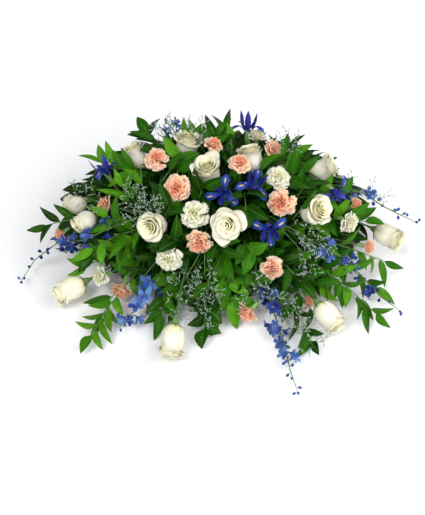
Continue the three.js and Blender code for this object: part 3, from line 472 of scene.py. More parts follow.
class Finish:
    """A material in the making, with a Principled shader."""

    def __init__(self, name, constants):
        self.material = bpy.data.materials.new(name)
        self.material.use_nodes = True
        self.tree = self.material.node_tree
        self.tree.nodes.clear()
        self.shader = self.node("ShaderNodeBsdfPrincipled", {}, constants)
        self.node("ShaderNodeOutputMaterial", {}, {0: Value(self, self.shader.outputs[0])})

    def node(self, kind, settings, values):
        """A node of a kind, with its settings first and then the values or links of its sockets."""
        made = self.tree.nodes.new(kind)
        for key, value in settings.items():
            if key == "stops":
                ramp = made.color_ramp.elements
                while len(ramp) < len(value):
                    ramp.new(0.5)
                for stop, (position, colour) in zip(ramp, value):
                    stop.position, stop.color = position, (*colour, 1)
            else:
                setattr(made, key, value)
        for key, value in values.items():
            self.plug(made.inputs[key], value)
        return made

    def plug(self, socket, value):
        """Links a value to a socket, or sets a number or colour there."""
        if isinstance(value, Value):
            self.tree.links.new(value.socket, socket)
        elif isinstance(value, tuple) and len(value) == 3 and len(socket.default_value) == 4:
            socket.default_value = (*value, 1)
        else:
            socket.default_value = value

    def value(self, kind, settings, values, output=0):
        """What a new node gives at one of its outputs."""
        return Value(self, self.node(kind, settings, values).outputs[output])

    def math(self, operation, *inputs):
        """A Math node's result."""
        return self.value("ShaderNodeMath", {"operation": operation}, dict(enumerate(inputs)))

    def mix(self, share, first, second):
        """From the first colour to the second as the share goes from 0 to 1."""
        settings = {"data_type": "RGBA", "clamp_factor": True}
        return self.value("ShaderNodeMix", settings, {0: share, 6: first, 7: second}, output=2)

    def noise(self, vector, scale, detail=2.0):
        """Soft random mottling."""
        return self.value("ShaderNodeTexNoise", {}, {"Vector": vector, "Scale": scale, "Detail": detail})

    def here(self):
        """The place on the piece, in metres."""
        return self.value("ShaderNodeTexCoord", {}, {}, output="Object")

    def roughness(self, share, low, high):
        """The shader's roughness, from low to high as the share goes from 0.3 to 0.7."""
        values = {0: share, 1: 0.3, 2: 0.7, 3: low, 4: high}
        self.plug(self.shader.inputs["Roughness"], self.value("ShaderNodeMapRange", {}, values))

    def bump(self, height, strength, distance):
        """Relief in the shader's normal."""
        values = {"Strength": strength, "Distance": distance, "Height": height}
        self.plug(self.shader.inputs["Normal"], self.value("ShaderNodeBump", {}, values))

    def done(self, colour):
        """The finished material in a colour."""
        self.plug(self.shader.inputs["Base Color"], colour)
        return self.material


class BladeFinish(Finish):
    """A finish for blades and rods: it reads the share across and along them, their tint and layer."""

    def __init__(self, name, constants):
        super().__init__(name, constants)
        both = self.value("ShaderNodeUVMap", {"uv_map": "blade"}, {})
        split = self.node("ShaderNodeSeparateXYZ", {}, {0: both})
        self.u, self.v = Value(self, split.outputs[0]), Value(self, split.outputs[1])
        self.tint, self.layer = (
            self.value("ShaderNodeAttribute", {"attribute_name": key}, {}, "Fac") for key in ("tint", "layer")
        )

    def streaks(self, across, along, shift=40, detail=2.0):
        """Noise drawn out along the blade, and shifted by its tint so that no two blades are alike."""
        values = {0: self.u * across, 1: self.v * along, 2: self.tint * shift}
        return self.noise(self.value("ShaderNodeCombineXYZ", {}, values), 1.0, detail)

    def off_middle(self):
        """0 along the blade's middle line and 1 at its edges."""
        return self.math("ABSOLUTE", self.u - 0.5) * 2


def thin(roughness, glow, **more):
    """The shader's constants for a soft petal that some light passes through."""
    soft = {"Subsurface Weight": glow, "Subsurface Radius": (1.0, 1.0, 1.0), "Subsurface Scale": 0.0016}
    return {"Roughness": roughness, **soft, **more}


def rose_petal():
    """Cream white, yellower towards the root and the heart, partly the petals' own colour and partly
    painted shade down in the gaps between them, with fine veins.
    """
    f = BladeFinish("rose_petal", thin(0.5, 0.65))
    v, heart, veins = f.v, f.layer, f.streaks(26, 2.5)
    cream = f.mix(f.tint, (0.80, 0.77, 0.60), (0.86, 0.83, 0.68))
    # Partly painted shade: the inner petals below their lips and the roots of all petals turn yellow-green
    # down in the gaps between the petals; the heart and the roots are also yellower of their own.
    yellow_heart_and_shade = f.mix(heart.between(0.0, 0.8) * (0.85 - v.between(0.6, 1.0) * 0.6), cream, (0.78, 0.73, 0.27))
    deep = heart * (1 - v.between(0.5, 0.9)) * 0.6 + (1 - v.between(0.05, 0.5)) * 0.6
    root = f.mix(deep, yellow_heart_and_shade, (0.80, 0.74, 0.16))
    f.bump(veins, 0.25, 0.0006)
    return f.done(f.mix(veins.between(0.45, 0.75) * 0.16, root, (0.84, 0.80, 0.60)))


def carnation_petal(name, rim, body, heart_colour, root_colour):
    """Matt, palest at the toothed rim and deeper down in the folds of the heart."""
    f = BladeFinish(name, thin(0.7, 0.9))
    v, heart, veins = f.v, f.layer, f.streaks(18, 3)
    inner = f.mix(heart.between(0.15, 0.85), body, heart_colour)
    faded = f.mix(v.between(0.62, 1.0) * (1 - heart * 0.45), inner, rim)
    rooted = f.mix((1 - v.between(0.1, 0.55)) * 0.8, faded, root_colour)
    f.bump(veins, 0.35, 0.0008)
    return f.done(f.mix(veins.between(0.4, 0.8) * 0.22, rooted, heart_colour))


def iris_petal():
    """Violet-blue standards and bluer falls with a net of dark veins, and on each fall a yellow signal
    in a pale halo. Layer is 1 on a fall and 0 on a standard."""
    f = BladeFinish("iris_petal", thin(0.5, 0.15, **{"Specular IOR Level": 0.2}))
    v, off_middle, fall = f.v, f.off_middle(), f.layer
    veins = f.streaks(22, 2).between(0.42, 0.66)
    signal = fall.between(0.6, 1.0)
    blue = f.mix(fall, (0.022, 0.024, 0.24), (0.014, 0.050, 0.29))
    netted = f.mix(veins * 0.55, blue, (0.004, 0.006, 0.08))
    paler = f.mix(v.between(0.55, 1.0) * f.tint * 0.6, netted, (0.08, 0.13, 0.55))
    near = (1 - off_middle.between(0.1, 0.34)) * v.between(0.36, 0.5) * (1 - v.between(0.72, 0.84))
    halo = f.mix(near * signal * 0.35, paler, (0.35, 0.42, 0.72))
    flame = (1 - off_middle.between(0.05, 0.2)) * v.between(0.44, 0.52) * (1 - v.between(0.64, 0.74))
    f.bump(veins, 0.3, 0.0006)
    return f.done(f.mix(flame * signal, halo, (0.75, 0.45, 0.06)))


def delphinium_petal():
    """Satin blue: layer says how pale the floret is, and each sepal darkens to its root and its veins."""
    f = BladeFinish("delphinium_petal", thin(0.48, 0.15, **{"Specular IOR Level": 0.2}))
    veins = f.streaks(14, 2)
    deep = f.mix(f.tint, (0.005, 0.012, 0.08), (0.008, 0.034, 0.22))
    light = f.mix(f.tint, (0.015, 0.07, 0.32), (0.17, 0.33, 0.62))
    rooted = f.mix((1 - f.v.between(0.0, 0.5)) * 0.6, f.mix(f.layer, deep, light), (0.03, 0.03, 0.25))
    f.bump(veins, 0.3, 0.0006)
    return f.done(f.mix(veins.between(0.5, 0.75) * 0.4, rooted, (0.02, 0.03, 0.26)))


def papery_floret():
    """Dry and papery: green at the foot of each cup, with a pale rim that turns blue-grey with tint."""
    f = BladeFinish("papery_floret", thin(0.8, 0.1))
    rim = f.mix(f.tint, (0.56, 0.62, 0.52), (0.30, 0.36, 0.46))
    return f.done(f.mix(f.v.between(0.2, 0.8), (0.16, 0.25, 0.12), rim))


def ruscus_leaf():
    """Waxy green: dark where the tint is low, on old leaves and as painted shade on leaves deep in the
    spray, yellow-green on young ones, a paler midrib and fine parallel veins.
    """
    waxy = {"Specular IOR Level": 0.3, "Specular Tint": (0.4, 0.8, 0.2)}
    f = BladeFinish("ruscus_leaf", {**waxy, "Subsurface Weight": 0.05, "Subsurface Scale": 0.003})
    stops = [
        (0.0, (0.001, 0.008, 0.0005)),
        (0.3, (0.004, 0.032, 0.001)),
        (0.65, (0.016, 0.102, 0.002)),
        (1.0, (0.070, 0.235, 0.007)),
    ]
    green = f.value("ShaderNodeValToRGB", {"stops": stops}, {0: f.tint})
    mottle = f.streaks(2, 5, 60, 4.0)
    mottled = f.mix(mottle.between(0.35, 0.7) * 0.35, green, (0.014, 0.07, 0.003))
    veins = f.streaks(30, 1.2, 60, 1.0).between(0.5, 0.7)
    veined = f.mix(veins * 0.22, mottled, (0.04, 0.14, 0.010))
    rib = 1 - f.off_middle().between(0.02, 0.12)
    f.bump(veins * 0.5 - rib, 0.35, 0.0006)
    f.roughness(mottle, 0.26, 0.4)
    return f.done(f.mix(rib * 0.45, veined, (0.08, 0.21, 0.025)))


def green_stem():
    """Smooth green bark, yellower where tint is high, with faint lengthwise streaks."""
    smooth = {"Roughness": 0.5, "Subsurface Weight": 0.05, "Subsurface Scale": 0.002}
    f = BladeFinish("green_stem", smooth)
    streaks = f.streaks(9, 3, detail=3.0)
    green = f.mix(f.tint, (0.010, 0.045, 0.006), (0.20, 0.38, 0.10))
    f.bump(streaks, 0.3, 0.0005)
    return f.done(f.mix(streaks.between(0.4, 0.7) * 0.25, green, (0.07, 0.17, 0.04)))


def foam_cells():
    """Wet floral foam: deep green, crumbly, with small open cells."""
    f = Finish("foam_cells", {"Roughness": 0.85})
    here = f.here()
    cells = f.value("ShaderNodeTexVoronoi", {}, {"Vector": here, "Scale": 900.0}, output="Distance")
    damp = f.noise(here, 30.0, 4.0)
    f.bump(cells, 0.6, 0.0008)
    dark = f.mix(damp.between(0.35, 0.65), (0.028, 0.095, 0.045), (0.055, 0.16, 0.075))
    return f.done(f.mix(cells.between(0.2, 0.6) * 0.5, dark, (0.015, 0.05, 0.025)))


def tray_plastic():
    """Thin moulded plastic, dark green, faintly grained, paler where it has been handled."""
    f = Finish("tray_plastic", {})
    here = f.here()
    scuffs = f.noise(here, 18.0, 5.0)
    f.bump(f.noise(here, 700.0, 3.0), 0.15, 0.0004)
    f.roughness(scuffs, 0.36, 0.52)
    return f.done(f.mix(scuffs.between(0.5, 0.75) * 0.4, (0.020, 0.055, 0.026), (0.045, 0.09, 0.05)))


ROSE = rose_petal()
WHITE = carnation_petal(
    "white_carnation_petal", (0.83, 0.82, 0.69), (0.80, 0.79, 0.58), (0.78, 0.77, 0.46), (0.72, 0.72, 0.38)
)
PEACH = carnation_petal(
    "peach_carnation_petal", (0.95, 0.70, 0.51), (0.92, 0.46, 0.27), (0.84, 0.23, 0.09), (0.75, 0.44, 0.20)
)
IRIS = iris_petal()
DELPHINIUM = delphinium_petal()
FLORET = papery_floret()
LEAVES = ruscus_leaf()
GREEN = green_stem()


# Heads

# Layers of a rose from the heart outwards: petals, belly radius, rim radius, height of the rim, width
# of its rolled lip, half span
ROSE_LAYERS = [
    (2, 4.0, 2.2, 30.0, 2.4, 2.1),
    (3, 8.4, 6.0, 31.6, 4.2, 1.5),
    (3, 12.6, 10.0, 32.8, 5.6, 1.4),
    (4, 16.6, 14.6, 33.0, 6.2, 1.15),
    (4, 20.8, 18.4, 32.4, 8.0, 1.15),
    (5, 24.8, 22.0, 31.0, 10.0, 0.96),
]
# How far each rose has opened
ROSE_OPENED = [0.7, 0.95, 0.8, 0.9, 1.0, 0.9, 0.6, 0.6, 0.2, 0.3, 0.3, 1.0, 0.5, 0.7, 0.8]
# Layers of a carnation from the heart outwards: petals, rim radius, height of the rim, half span, ruffle
CARNATION_LAYERS = [
    (3, 4.0, 18.0, 1.4, 3.0),
    (4, 8.5, 18.5, 1.0, 4.0),
    (5, 13.0, 17.0, 0.85, 4.6),
    (6, 17.5, 14.0, 0.72, 4.6),
    (6, 22.0, 9.5, 0.68, 4.2),
    (6, 26.0, 4.0, 0.64, 3.4),
    (6, 29.5, -2.0, 0.58, 2.6),
]
# Parts of an iris, three of each: first turn, out and up along the curve, half widths at even shares
# of it, cup, and layer. They are the falls, the standards and the style arms.
IRIS_PARTS = [
    (0.0, [1, 15, 36, 42], [-14, 15, 11, -8], [2.2, 4.4, 8.6, 10.0, 0.4], -0.25, 1.0),
    (0.5, [1, 19, 22, 20], [-12, 4, 22, 38], [1.6, 4.6, 7.2, 5.8, 0.4], 0.35, 0.0),
    (0.0, [1, 8, 18, 24], [-6, 11, 17, 18], [1.8, 2.8, 3.6, 4.4, 1.0], -0.45, 0.4),
]


def per_petal(layers):
    """One row of values for each petal, each value shaped to spread over a petal's grid. The petals of
    a layer stand evenly round the axis, and each layer is turned by the golden angle from the last."""
    table = np.array(layers, float)
    count = table[:, 0].astype(int)
    rows = np.repeat(table, count, axis=0)
    layer = np.repeat(np.linspace(1, 0, len(table)), count)
    turn = np.concatenate([2 * np.pi * np.arange(n) / n + k * GOLDEN_TURN for k, n in enumerate(count)])
    return layer, turn[:, None, None], rows.T[1:, :, None, None]


def rose_grids(opened):
    """Petals round +Z. Along a petal its distance from the axis and its height follow cubic curves
    from the root over the belly to the rim, where a lip rolls outwards along an arc. Across it the
    petal turns about the axis, sinks to its sides, and lies over the next petal with one side. The
    outer petals lean out and end in a soft point, and the inner ones stand a little off the axis. The
    less a rose has opened, the narrower its lips are and the more its outer petals close in."""
    layer, turn, (belly, rim, top, lip, span) = per_petal(ROSE_LAYERS)
    heart = layer[:, None, None]
    outer = 1 - heart
    each = random.uniform(-1, 1, (7, len(layer), 1, 1))
    t = np.linspace(-1, 1, 13)
    sunk = (0.06 + 0.2 * outer**2) * np.abs(t) ** 2.2 + (0.02 + 0.09 * (1 - opened) * outer) * t**2
    length = 1 + (0.02 + 0.03 * outer + 0.05 * outer**2) * each[0]
    up = np.linspace(0, 1, 12)[:, None] * (1 - sunk) * length
    climb = np.minimum(up / 0.66, 1)
    roll = np.clip((up - 0.66) / 0.34, 0, 1.2)
    curl = (1.2 - 0.15 * outer) * (0.35 + 0.65 * opened)
    bend = lip * (0.3 + 0.7 * opened) / (1 - np.cos(curl))
    top = top - 7 * opened * outer**2 + (1 - opened) * (4 * outer - 5 * heart)
    radius = drawn_curve([3.0, belly * 0.9, belly * 1.04, rim * (0.93 + 0.09 * opened)], climb)
    height = drawn_curve([-37.0, -36.0, -12.0, top - bend], climb)
    curl = curl * (1 + 0.2 * each[2] + 0.3 * outer * t**2) * roll
    bend = bend * (1 + 0.22 * each[1])
    wave = (0.6 + outer) * (0.3 + 0.7 * opened) * roll**2 * np.sin(4.2 * t + 6 * each[4])
    lean = outer**2 * 2 * opened * (1 + each[3]) * roll**2
    radius = radius + bend * (1 - np.cos(curl)) + lean - 3 * (1 - opened) * outer * roll**2
    radius = radius * (1 + (0.045 + 0.19 * heart) * t) + wave
    height = height + bend * np.sin(curl) - lean + wave
    angle = turn + 0.22 * each[5] + span * t * (0.6 + 0.4 * np.minimum(climb * 1.6, 1))
    aside, way = 4.2 * heart * up, 3 * each[6, 0]
    x = radius * np.cos(angle) + aside * np.cos(way)
    y = radius * np.sin(angle) + aside * np.sin(way)
    return np.stack([x, y, height], -1), layer


def carnation_grids(_):
    """Fans round +Z. Each rises from a narrow claw along cubic curves, spreads to its rim, is thrown
    into folds by a sine across it that grows towards the rim, and ends in small teeth. The folds of
    the heart stand on edge, and the outer petals lie flatter."""
    layer, turn, (rim, top, span, ruffle) = per_petal(CARNATION_LAYERS)
    heart = layer[:, None, None]
    each = random.uniform(-1, 1, (8, len(layer), 1, 1))
    s = np.linspace(0, 1, 7)[:, None] ** 0.85
    t = np.linspace(-1, 1, 13)
    teeth = 1 - 0.07 * (np.arange(13) % 2) * (s > 0.99)
    up = s * teeth * (1 - 0.16 * t**2 * s) * (1 + 0.07 * each[0])
    rim = rim * (1 + 0.11 * each[1])
    radius = drawn_curve([1.2, 3.5, rim * 0.7, rim], up)
    height = drawn_curve([-16.0, top * 0.5 - 6, top + 3.5, top], up)
    height = height + 2.4 * each[2] * up * (0.3 + heart)
    folds = np.pi * (1.5 + 0.55 * each[3]) * t + 4 * each[4]
    curl = ruffle * (1 + 0.35 * each[5]) * up**2
    radius = radius + curl * (0.35 + 0.65 * heart) * np.sin(folds) * np.minimum(1, rim / 8)
    height = height + curl * (0.55 - 0.2 * heart) * np.cos(folds * 1.2 + 2 * each[6])
    angle = turn + 0.3 * each[7] + span * t * (0.3 + 0.7 * up) + 0.12 * curl / ruffle * np.sin(folds * 0.7)
    return np.stack([radius * np.cos(angle), radius * np.sin(angle), height], -1), layer


def iris_grids(_):
    """Three falls that arch out and down, three upright standards, and a style arm over each fall.
    Each is a ribbon along a cubic curve in a plane through +Z, widest at its middle or past it, and
    rippled along its edges by a sine."""
    s = np.linspace(0, 1, 9)
    ripples = np.abs(np.linspace(-1, 1, 7))[:, None] ** 3
    grids, layers = [], []
    for first, out, up, widths, cup, layer in IRIS_PARTS:
        turn = 2 * np.pi * (np.arange(3) + first) / 3 + random.uniform(-0.08, 0.08, 3)
        spoke = np.stack([np.cos(turn), np.sin(turn), 0 * turn], -1)
        reach = drawn_curve(out, s)[:, None] * (1 + random.uniform(-0.05, 0.05, (3, 1, 1)))
        rise = drawn_curve(up, s)[:, None] * (1 + random.uniform(-0.08, 0.08, (3, 1, 1)))
        centre = spoke[:, None] * reach + UPRIGHT * rise
        side = np.broadcast_to(np.cross(UPRIGHT, spoke)[:, None], centre.shape)
        lift = np.cross(unit(np.gradient(centre, axis=1)), side)
        half = np.interp(s, [0, 0.25, 0.5, 0.75, 1], widths)
        wave = 0.9 * np.sin(9 * s + 2 * random.uniform(0, 3, (3, 1)))[..., None, None]
        grids.append(ribbons(centre, side, lift, half, cup, 7) + lift[:, :, None] * wave * ripples)
        layers.append(np.full(3, layer))
    return np.concatenate(grids), np.concatenate(layers)


# Kinds of heads: how far they reach from their middle, how far under it they sit, the radius of the
# calyx, the function that shapes their petals, and the petals' finish, slot and thickness
KINDS = {
    "rose": (33, 37.5, 7.5, rose_grids, ROSE, "rose_petals", 0.7),
    "carnation_white": (28, 17, 6, carnation_grids, WHITE, "white_carnation_petals", 0.6),
    "carnation_peach": (28, 17, 6, carnation_grids, PEACH, "peach_carnation_petals", 0.6),
    "iris": (24, 20, 5, iris_grids, IRIS, "iris_petals", 0.8),
}
SEAT_GAP = 1.6  # between the root of the petals and the calyx


class Head:
    """One flower head: where it stands and faces, and how large and how far opened it is."""

    def __init__(self, kind, number, middle, faces, size, seen):
        reach, root, calyx, *_ = KINDS[kind]
        self.kind, self.name, self.seen = kind, f"{kind}_{number + 1}", seen
        self.middle, self.faces, self.size = middle, faces, size
        self.turn = turned_from_z(faces, 2 * np.pi * draw(number * 7 + len(kind)))
        self.opened = ROSE_OPENED[number % len(ROSE_OPENED)]
        self.reach, self.calyx = reach * size, calyx * size
        self.seat = middle - faces * (root * size + SEAT_GAP)

    def make(self):
        """The petals, shaped round +Z, then turned and moved to the head's place."""
        *_, grids_of, finish, slot, thickness = KINDS[self.kind]
        local, layer = grids_of(self.opened)
        grids = self.middle + self.size * (local @ self.turn.T)
        grids[..., 2] = np.maximum(grids[..., 2], LOWEST)
        piece = Piece(finish)
        piece.blades(grids, thickness * self.size, finish, random.uniform(0, 1, len(layer)), layer)
        piece.finish(self.name + "_petals", slot, self.name)


def all_heads():
    """The heads seen from the front, then those on the far side, numbered together by kind."""
    heads = []
    for kind, seen in SEEN_HEADS.items():
        for i, (x, y, turn, tip, size, behind) in enumerate(seen):
            heads.append(Head(kind, i, place([x, y], 40.0, behind), facing(turn, tip), size, True))
        for i, (bearing, rise, reach, size) in enumerate(FAR_HEADS.get(kind, []), len(seen)):
            middle = on_dome(bearing, rise, reach)
            heads.append(Head(kind, i, middle, outward(middle), size, False))
    return heads


# Delphinium and sea lavender

SPIKE_PATHS = {
    name: Path.through(place(knots, rest, deep)) for name, (rest, deep, *_, knots) in SPIKES.items()
}
SPRAY_PATHS = {
    name: [Path.through(place(knots, rest, SPRAY_DEPTH)) for rest, _, knots in sprays]
    for name, sprays in SPRAYS.items()
}


def away_from(path, t, turn, pull):
    """Directions square to a stem, turned round it, then drawn towards the outside of the dome and a
    little along the stem."""
    ahead, out = path.ahead(t), outward(path.at(t))
    side = unit(np.cross(ahead, out))
    rise = unit(np.cross(side, ahead))
    return unit(turned(side, rise, turn) + rise * np.reshape(pull, (-1, 1)) + ahead * 0.25)


def make_spike(name, seed):
    """A delphinium spike: an arched stem with open florets on thin stalks, then buds to its tip. Each
    floret has five sepals that arch out from its middle by a sine, a small white eye and a spur."""
    _, _, florets, buds, scale, tones, _ = SPIKES[name]
    path = SPIKE_PATHS[name]
    piece = Piece(DELPHINIUM, FLORET, GREEN)
    ends = np.array([0, 0.001, 0.25, 0.5, 0.75, 0.999, 1])
    piece.stem(path, ends, np.interp(ends, [0, 0.001, 0.8, 0.999, 1], [0, 1.9, 1.2, 0.6, 0]), 6, 0.45)
    i = np.arange(florets + buds)
    t = (i + 0.35) / len(i)
    t = t - 0.7 * np.sin(6 * np.pi * t) / (6 * np.pi)  # they stand in three loose groups
    faces = away_from(path, t, i * 2.4 + draw(seed + i), 0.55)
    opened = i < florets
    open_reach = 17.5 * (1.15 - 0.3 * t) * (0.8 + 0.4 * draw(seed + i + 5)) * scale
    reach = np.where(opened, open_reach, 19 - 7 * t)[:, None]
    stalk = rays(path.at(t), faces, reach * [0, 0.02, 0.3, 0.56, 0.6])
    stalk[:, 2:] += (path.ahead(t) * reach * 0.12)[:, None]
    piece.rods(stalk, [0, 0.6, 0.5, 0.6, 0], 4, GREEN, 0.6)
    middle = stalk[:, -1]
    paleness = np.clip(np.interp(t, [0, 1], tones) + 0.9 * (draw(seed + i + 9) - 0.5), 0, 1)

    closed = ~opened
    i, f, g, size, pale = i[opened], middle[opened], faces[opened], reach[opened], paleness[opened]
    a, b = square_to(g)
    s = np.linspace(0, 1, 5)
    grids, tints = [], []
    for k in range(5):
        spoke = turned(a, b, 2 * np.pi * k / 5 + 6 * draw(seed + i + 20))
        lean = 0.45 + 0.55 * draw(seed + i * 5 + k + 40)
        rise = (np.sin(s * 1.9) * lean[:, None] - 0.1) * size * 0.7
        centre = rays(f, spoke, s * size * 0.86) + g[:, None] * rise[..., None]
        side, lift = (np.broadcast_to(way[:, None], centre.shape) for way in (np.cross(g, spoke), g))
        half = np.interp(s, [0, 0.3, 0.65, 0.88, 1], [0.06, 0.21, 0.31, 0.18, 0.02]) * size
        grids.append(ribbons(centre, side, lift, half, 0.3, 4))
        tints.append(draw(seed + i * 5 + k + 60))
    piece.blades(np.concatenate(grids), 0.7, DELPHINIUM, np.concatenate(tints), np.tile(pale, 5))
    piece.rods(rays(f, g, size * [0, 0.05, 0.2, 0.34]), [0, 1.3, 1.1, 0], 5, FLORET, 0.8)
    spur = rays(f, g, -size * [-0.15, -0.05, 0.2, 0.5, 0.62])
    spur[:, 3:] += (b * size * 0.2)[:, None]
    piece.rods(spur, [0, 2.0, 1.5, 0.7, 0], 5, DELPHINIUM, 0.3, pale * 0.5)

    bud = rays(middle[closed], faces[closed], reach[closed] * [-0.3, -0.2, 0.1, 0.35, 0.4])
    tint = draw(seed + np.flatnonzero(closed) + 90)
    piece.rods(bud, reach[closed] * [0, 0.16, 0.27, 0.14, 0], 6, DELPHINIUM, tint, paleness[closed] * 0.7)
    piece.finish(f"delphinium_{name}_florets", "delphinium_petals", f"delphinium_{name}")


def make_sprays(name, seed):
    """Sea lavender: wiry stems fork into twigs that bow by a sine, twigs into twiglets that lean to
    both sides in turn, and each twiglet carries a row of tiny papery cups."""
    piece = Piece(FLORET, GREEN)
    forks, cups, bow = np.arange(5), np.arange(4), 3.5
    for number, (path, (_, twigs, _)) in enumerate(zip(SPRAY_PATHS[name], SPRAYS[name])):
        piece.stem(path, [0, 0.001, 0.5, 0.999, 1], [0, 1.1, 0.9, 0.6, 0], 5, 0.3)
        i = np.arange(twigs)
        key = seed + 700 * number + i
        t = 0.06 + 0.93 * i / (twigs - 1)
        root, out = path.at(t), outward(path.at(t))[:, None]
        away = away_from(path, t, np.where(i % 2, 0.5, 2.6), 0.1 + 0.5 * draw(key))
        way = unit(away + path.ahead(t) * (0.2 + 0.7 * draw(key + 30))[:, None])
        length = ((34 + 20 * draw(key + 50)) * (1 - 0.35 * t))[:, None]
        way[:, 2:] = np.maximum(way[:, 2:], (HANG - root[:, 2:]) / length)
        way = unit(way)
        share = np.array([0, 0.01, 0.35, 0.7, 0.99, 1])
        line = rays(root, way, length * share) + out * (np.sin(share * np.pi) * bow)[:, None]
        piece.rods(line, [0, 0.5, 0.45, 0.4, 0.3, 0], 3, GREEN, 0.4)

        key = key[:, None]
        share = 0.3 + 0.7 * forks / (len(forks) - 1)
        first, second = (side[:, None] for side in square_to(way))
        square = turned(first, second, 3 * draw(key * 5 + forks))
        turn = np.where(forks % 2, 1.0, -1.0) * (0.75 + 0.4 * draw(key * 3 + forks))
        twiglet = unit(turned(way[:, None], square, turn)).reshape(-1, 3)
        base = rays(root, way, length * share) + out * (np.sin(share * np.pi) * bow)[:, None]
        base = base.reshape(-1, 3)
        reach = (9 + 7 * draw(key * 7 + forks)).reshape(-1, 1)
        piece.rods(rays(base, twiglet, reach * [0, 0.02, 0.98, 1]), [0, 0.35, 0.25, 0], 3, GREEN, 0.5)

        site = rays(base, twiglet, reach * (0.35 + 0.65 * cups / (len(cups) - 1)))
        cup_key = np.arange(len(reach))[:, None] * 11 + cups
        jitter = np.stack([draw(cup_key + seed + q) - 0.5 for q in (0, 1000, 2000)], -1)
        look = unit(twiglet[:, None] * 0.8 + jitter * 2.2 + outward(site) * 0.5)
        cup = rays(site.reshape(-1, 3), look.reshape(-1, 3), [0, 0.6, 3.4, 2.6])
        cup[..., 2] = np.maximum(cup[..., 2], 2)
        piece.rods(cup, [0, 0.5, 1.25, 0], 4, FLORET, draw(cup_key.ravel() + 31))
    piece.finish(f"sea_lavender_{name}_sprays", "sea_lavender_petals", f"sea_lavender_{name}")


# Greens

# Calyxes: rings as shares of their length and of their radius, and how yellow they are. Then their
# sepals: how many, length, half width, lean, where they start along the calyx and away from its
# axis, how steeply they rise, and how yellow they are.
CALYXES = {
    "rose": (
        [0, 0.02, 0.4, 0.68, 0.92, 1.06, 1.1], [0, 0.3, 0.42, 0.82, 1.0, 0.8, 0], 0.55,
        (5, 24, 3.4, 0.75, 0.86, 0.86, 0.5, 0.7),
    ),
    "carnation": (
        [0, 0.02, 0.16, 0.5, 0.95, 1.2, 1.22], [0, 0.35, 0.72, 0.84, 0.98, 1.1, 0], 0.9,
        (5, 11, 3.2, 0.25, 0.86, 0.86, 0.95, 0.9),
    ),
    "iris": (
        [0, 0.02, 0.3, 0.7, 1.0, 1.4, 1.42], [0, 0.45, 0.8, 1.0, 0.9, 0.6, 0], 0.7,
        (2, 40, 6.5, 0.22, 0.1, 0.45, 0.95, 0.9),
    ),
}
CALYX_LENGTH = 2.6  # as a share of its radius
STEM_ROOM = np.array([150, 34])  # how far from the foam's middle a stem may stand in it
# How far leaves keep clear, of a head's face and of the lines of sight to spikes and sprays
BEFORE_FACE, BY_SPIKE, BY_SPRAY = 70, {"middle": 15.0, "tip": 11.0}, 9.0
NEARER = 0.6  # how much of that a bold leaf keeps


def quarter_of(p):
    """Which of the four greens each place belongs to."""
    between = np.where(p[..., 1] < 0, "front", "back")
    return np.where(p[..., 0] < -SIDE_SPLIT, "left", np.where(p[..., 0] > SIDE_SPLIT, "right", between))


def into_quarter(point, quarter, room=6.0):
    """Moves a point into its quarter of the greens, clear of the planes where the quarters meet."""
    x, y, z = point
    if quarter == "left":
        return np.array([min(x, -SIDE_SPLIT - room), y, z])
    if quarter == "right":
        return np.array([max(x, SIDE_SPLIT + room), y, z])
    middle = np.clip(x, room - SIDE_SPLIT, SIDE_SPLIT - room)
    return np.array([middle, min(y, -room) if quarter == "front" else max(y, room), z])


def core_point(toward, quarter):
    """Where a leafy stem on its way to a place leaves the mound of short greens over the foam."""
    base = np.array([0, 0, CORE_BASE])
    way = into_quarter(toward, quarter, 14.0) - base
    way[2] = max(way[2], 14)
    return into_quarter(base + way * 0.94 / np.linalg.norm(way / CORE), quarter, 8.0)


def leaf_grids(root, way, up, length, width, bend, fold, twist):
    """Ruscus leaves: ribbons that rise in a low arch and droop to a point, folded a little along the
    midrib and twisted along their length. Half the width follows a power of a sine, and is fullest a
    little before the middle."""
    s = np.linspace(0, 1, 7)
    side = unit(np.cross(way, up))
    normal = np.cross(side, way)[:, None]
    way, side, length, width = way[:, None], side[:, None], length[:, None, None], width[:, None]
    arch = (0.07 * np.sin(np.pi * s) - bend[:, None] * s**2)[..., None]
    centre = root[:, None] + (way * s[:, None] + normal * arch) * length
    angle = twist[:, None] * s
    outline = 0.5 * np.sin(np.pi * np.clip(s, 0, 0.995) ** 0.72) ** 0.85 + 0.012
    fold = np.reshape(fold, (-1, 1, 1, 1))
    across, lift = turned(side, normal, angle), turned(normal, -side, angle)
    return ribbons(centre, across, lift, outline * width, fold, 5)


def in_sight_of(points, things, reach):
    """True where a point stands between the viewer and one of the things, within reach of the line."""
    gap = points[:, None] - things[None]
    ahead = gap @ TOWARD
    off = np.linalg.norm(gap - ahead[..., None] * TOWARD, axis=-1)
    return ((ahead > 0) & (off < reach)).any(1)


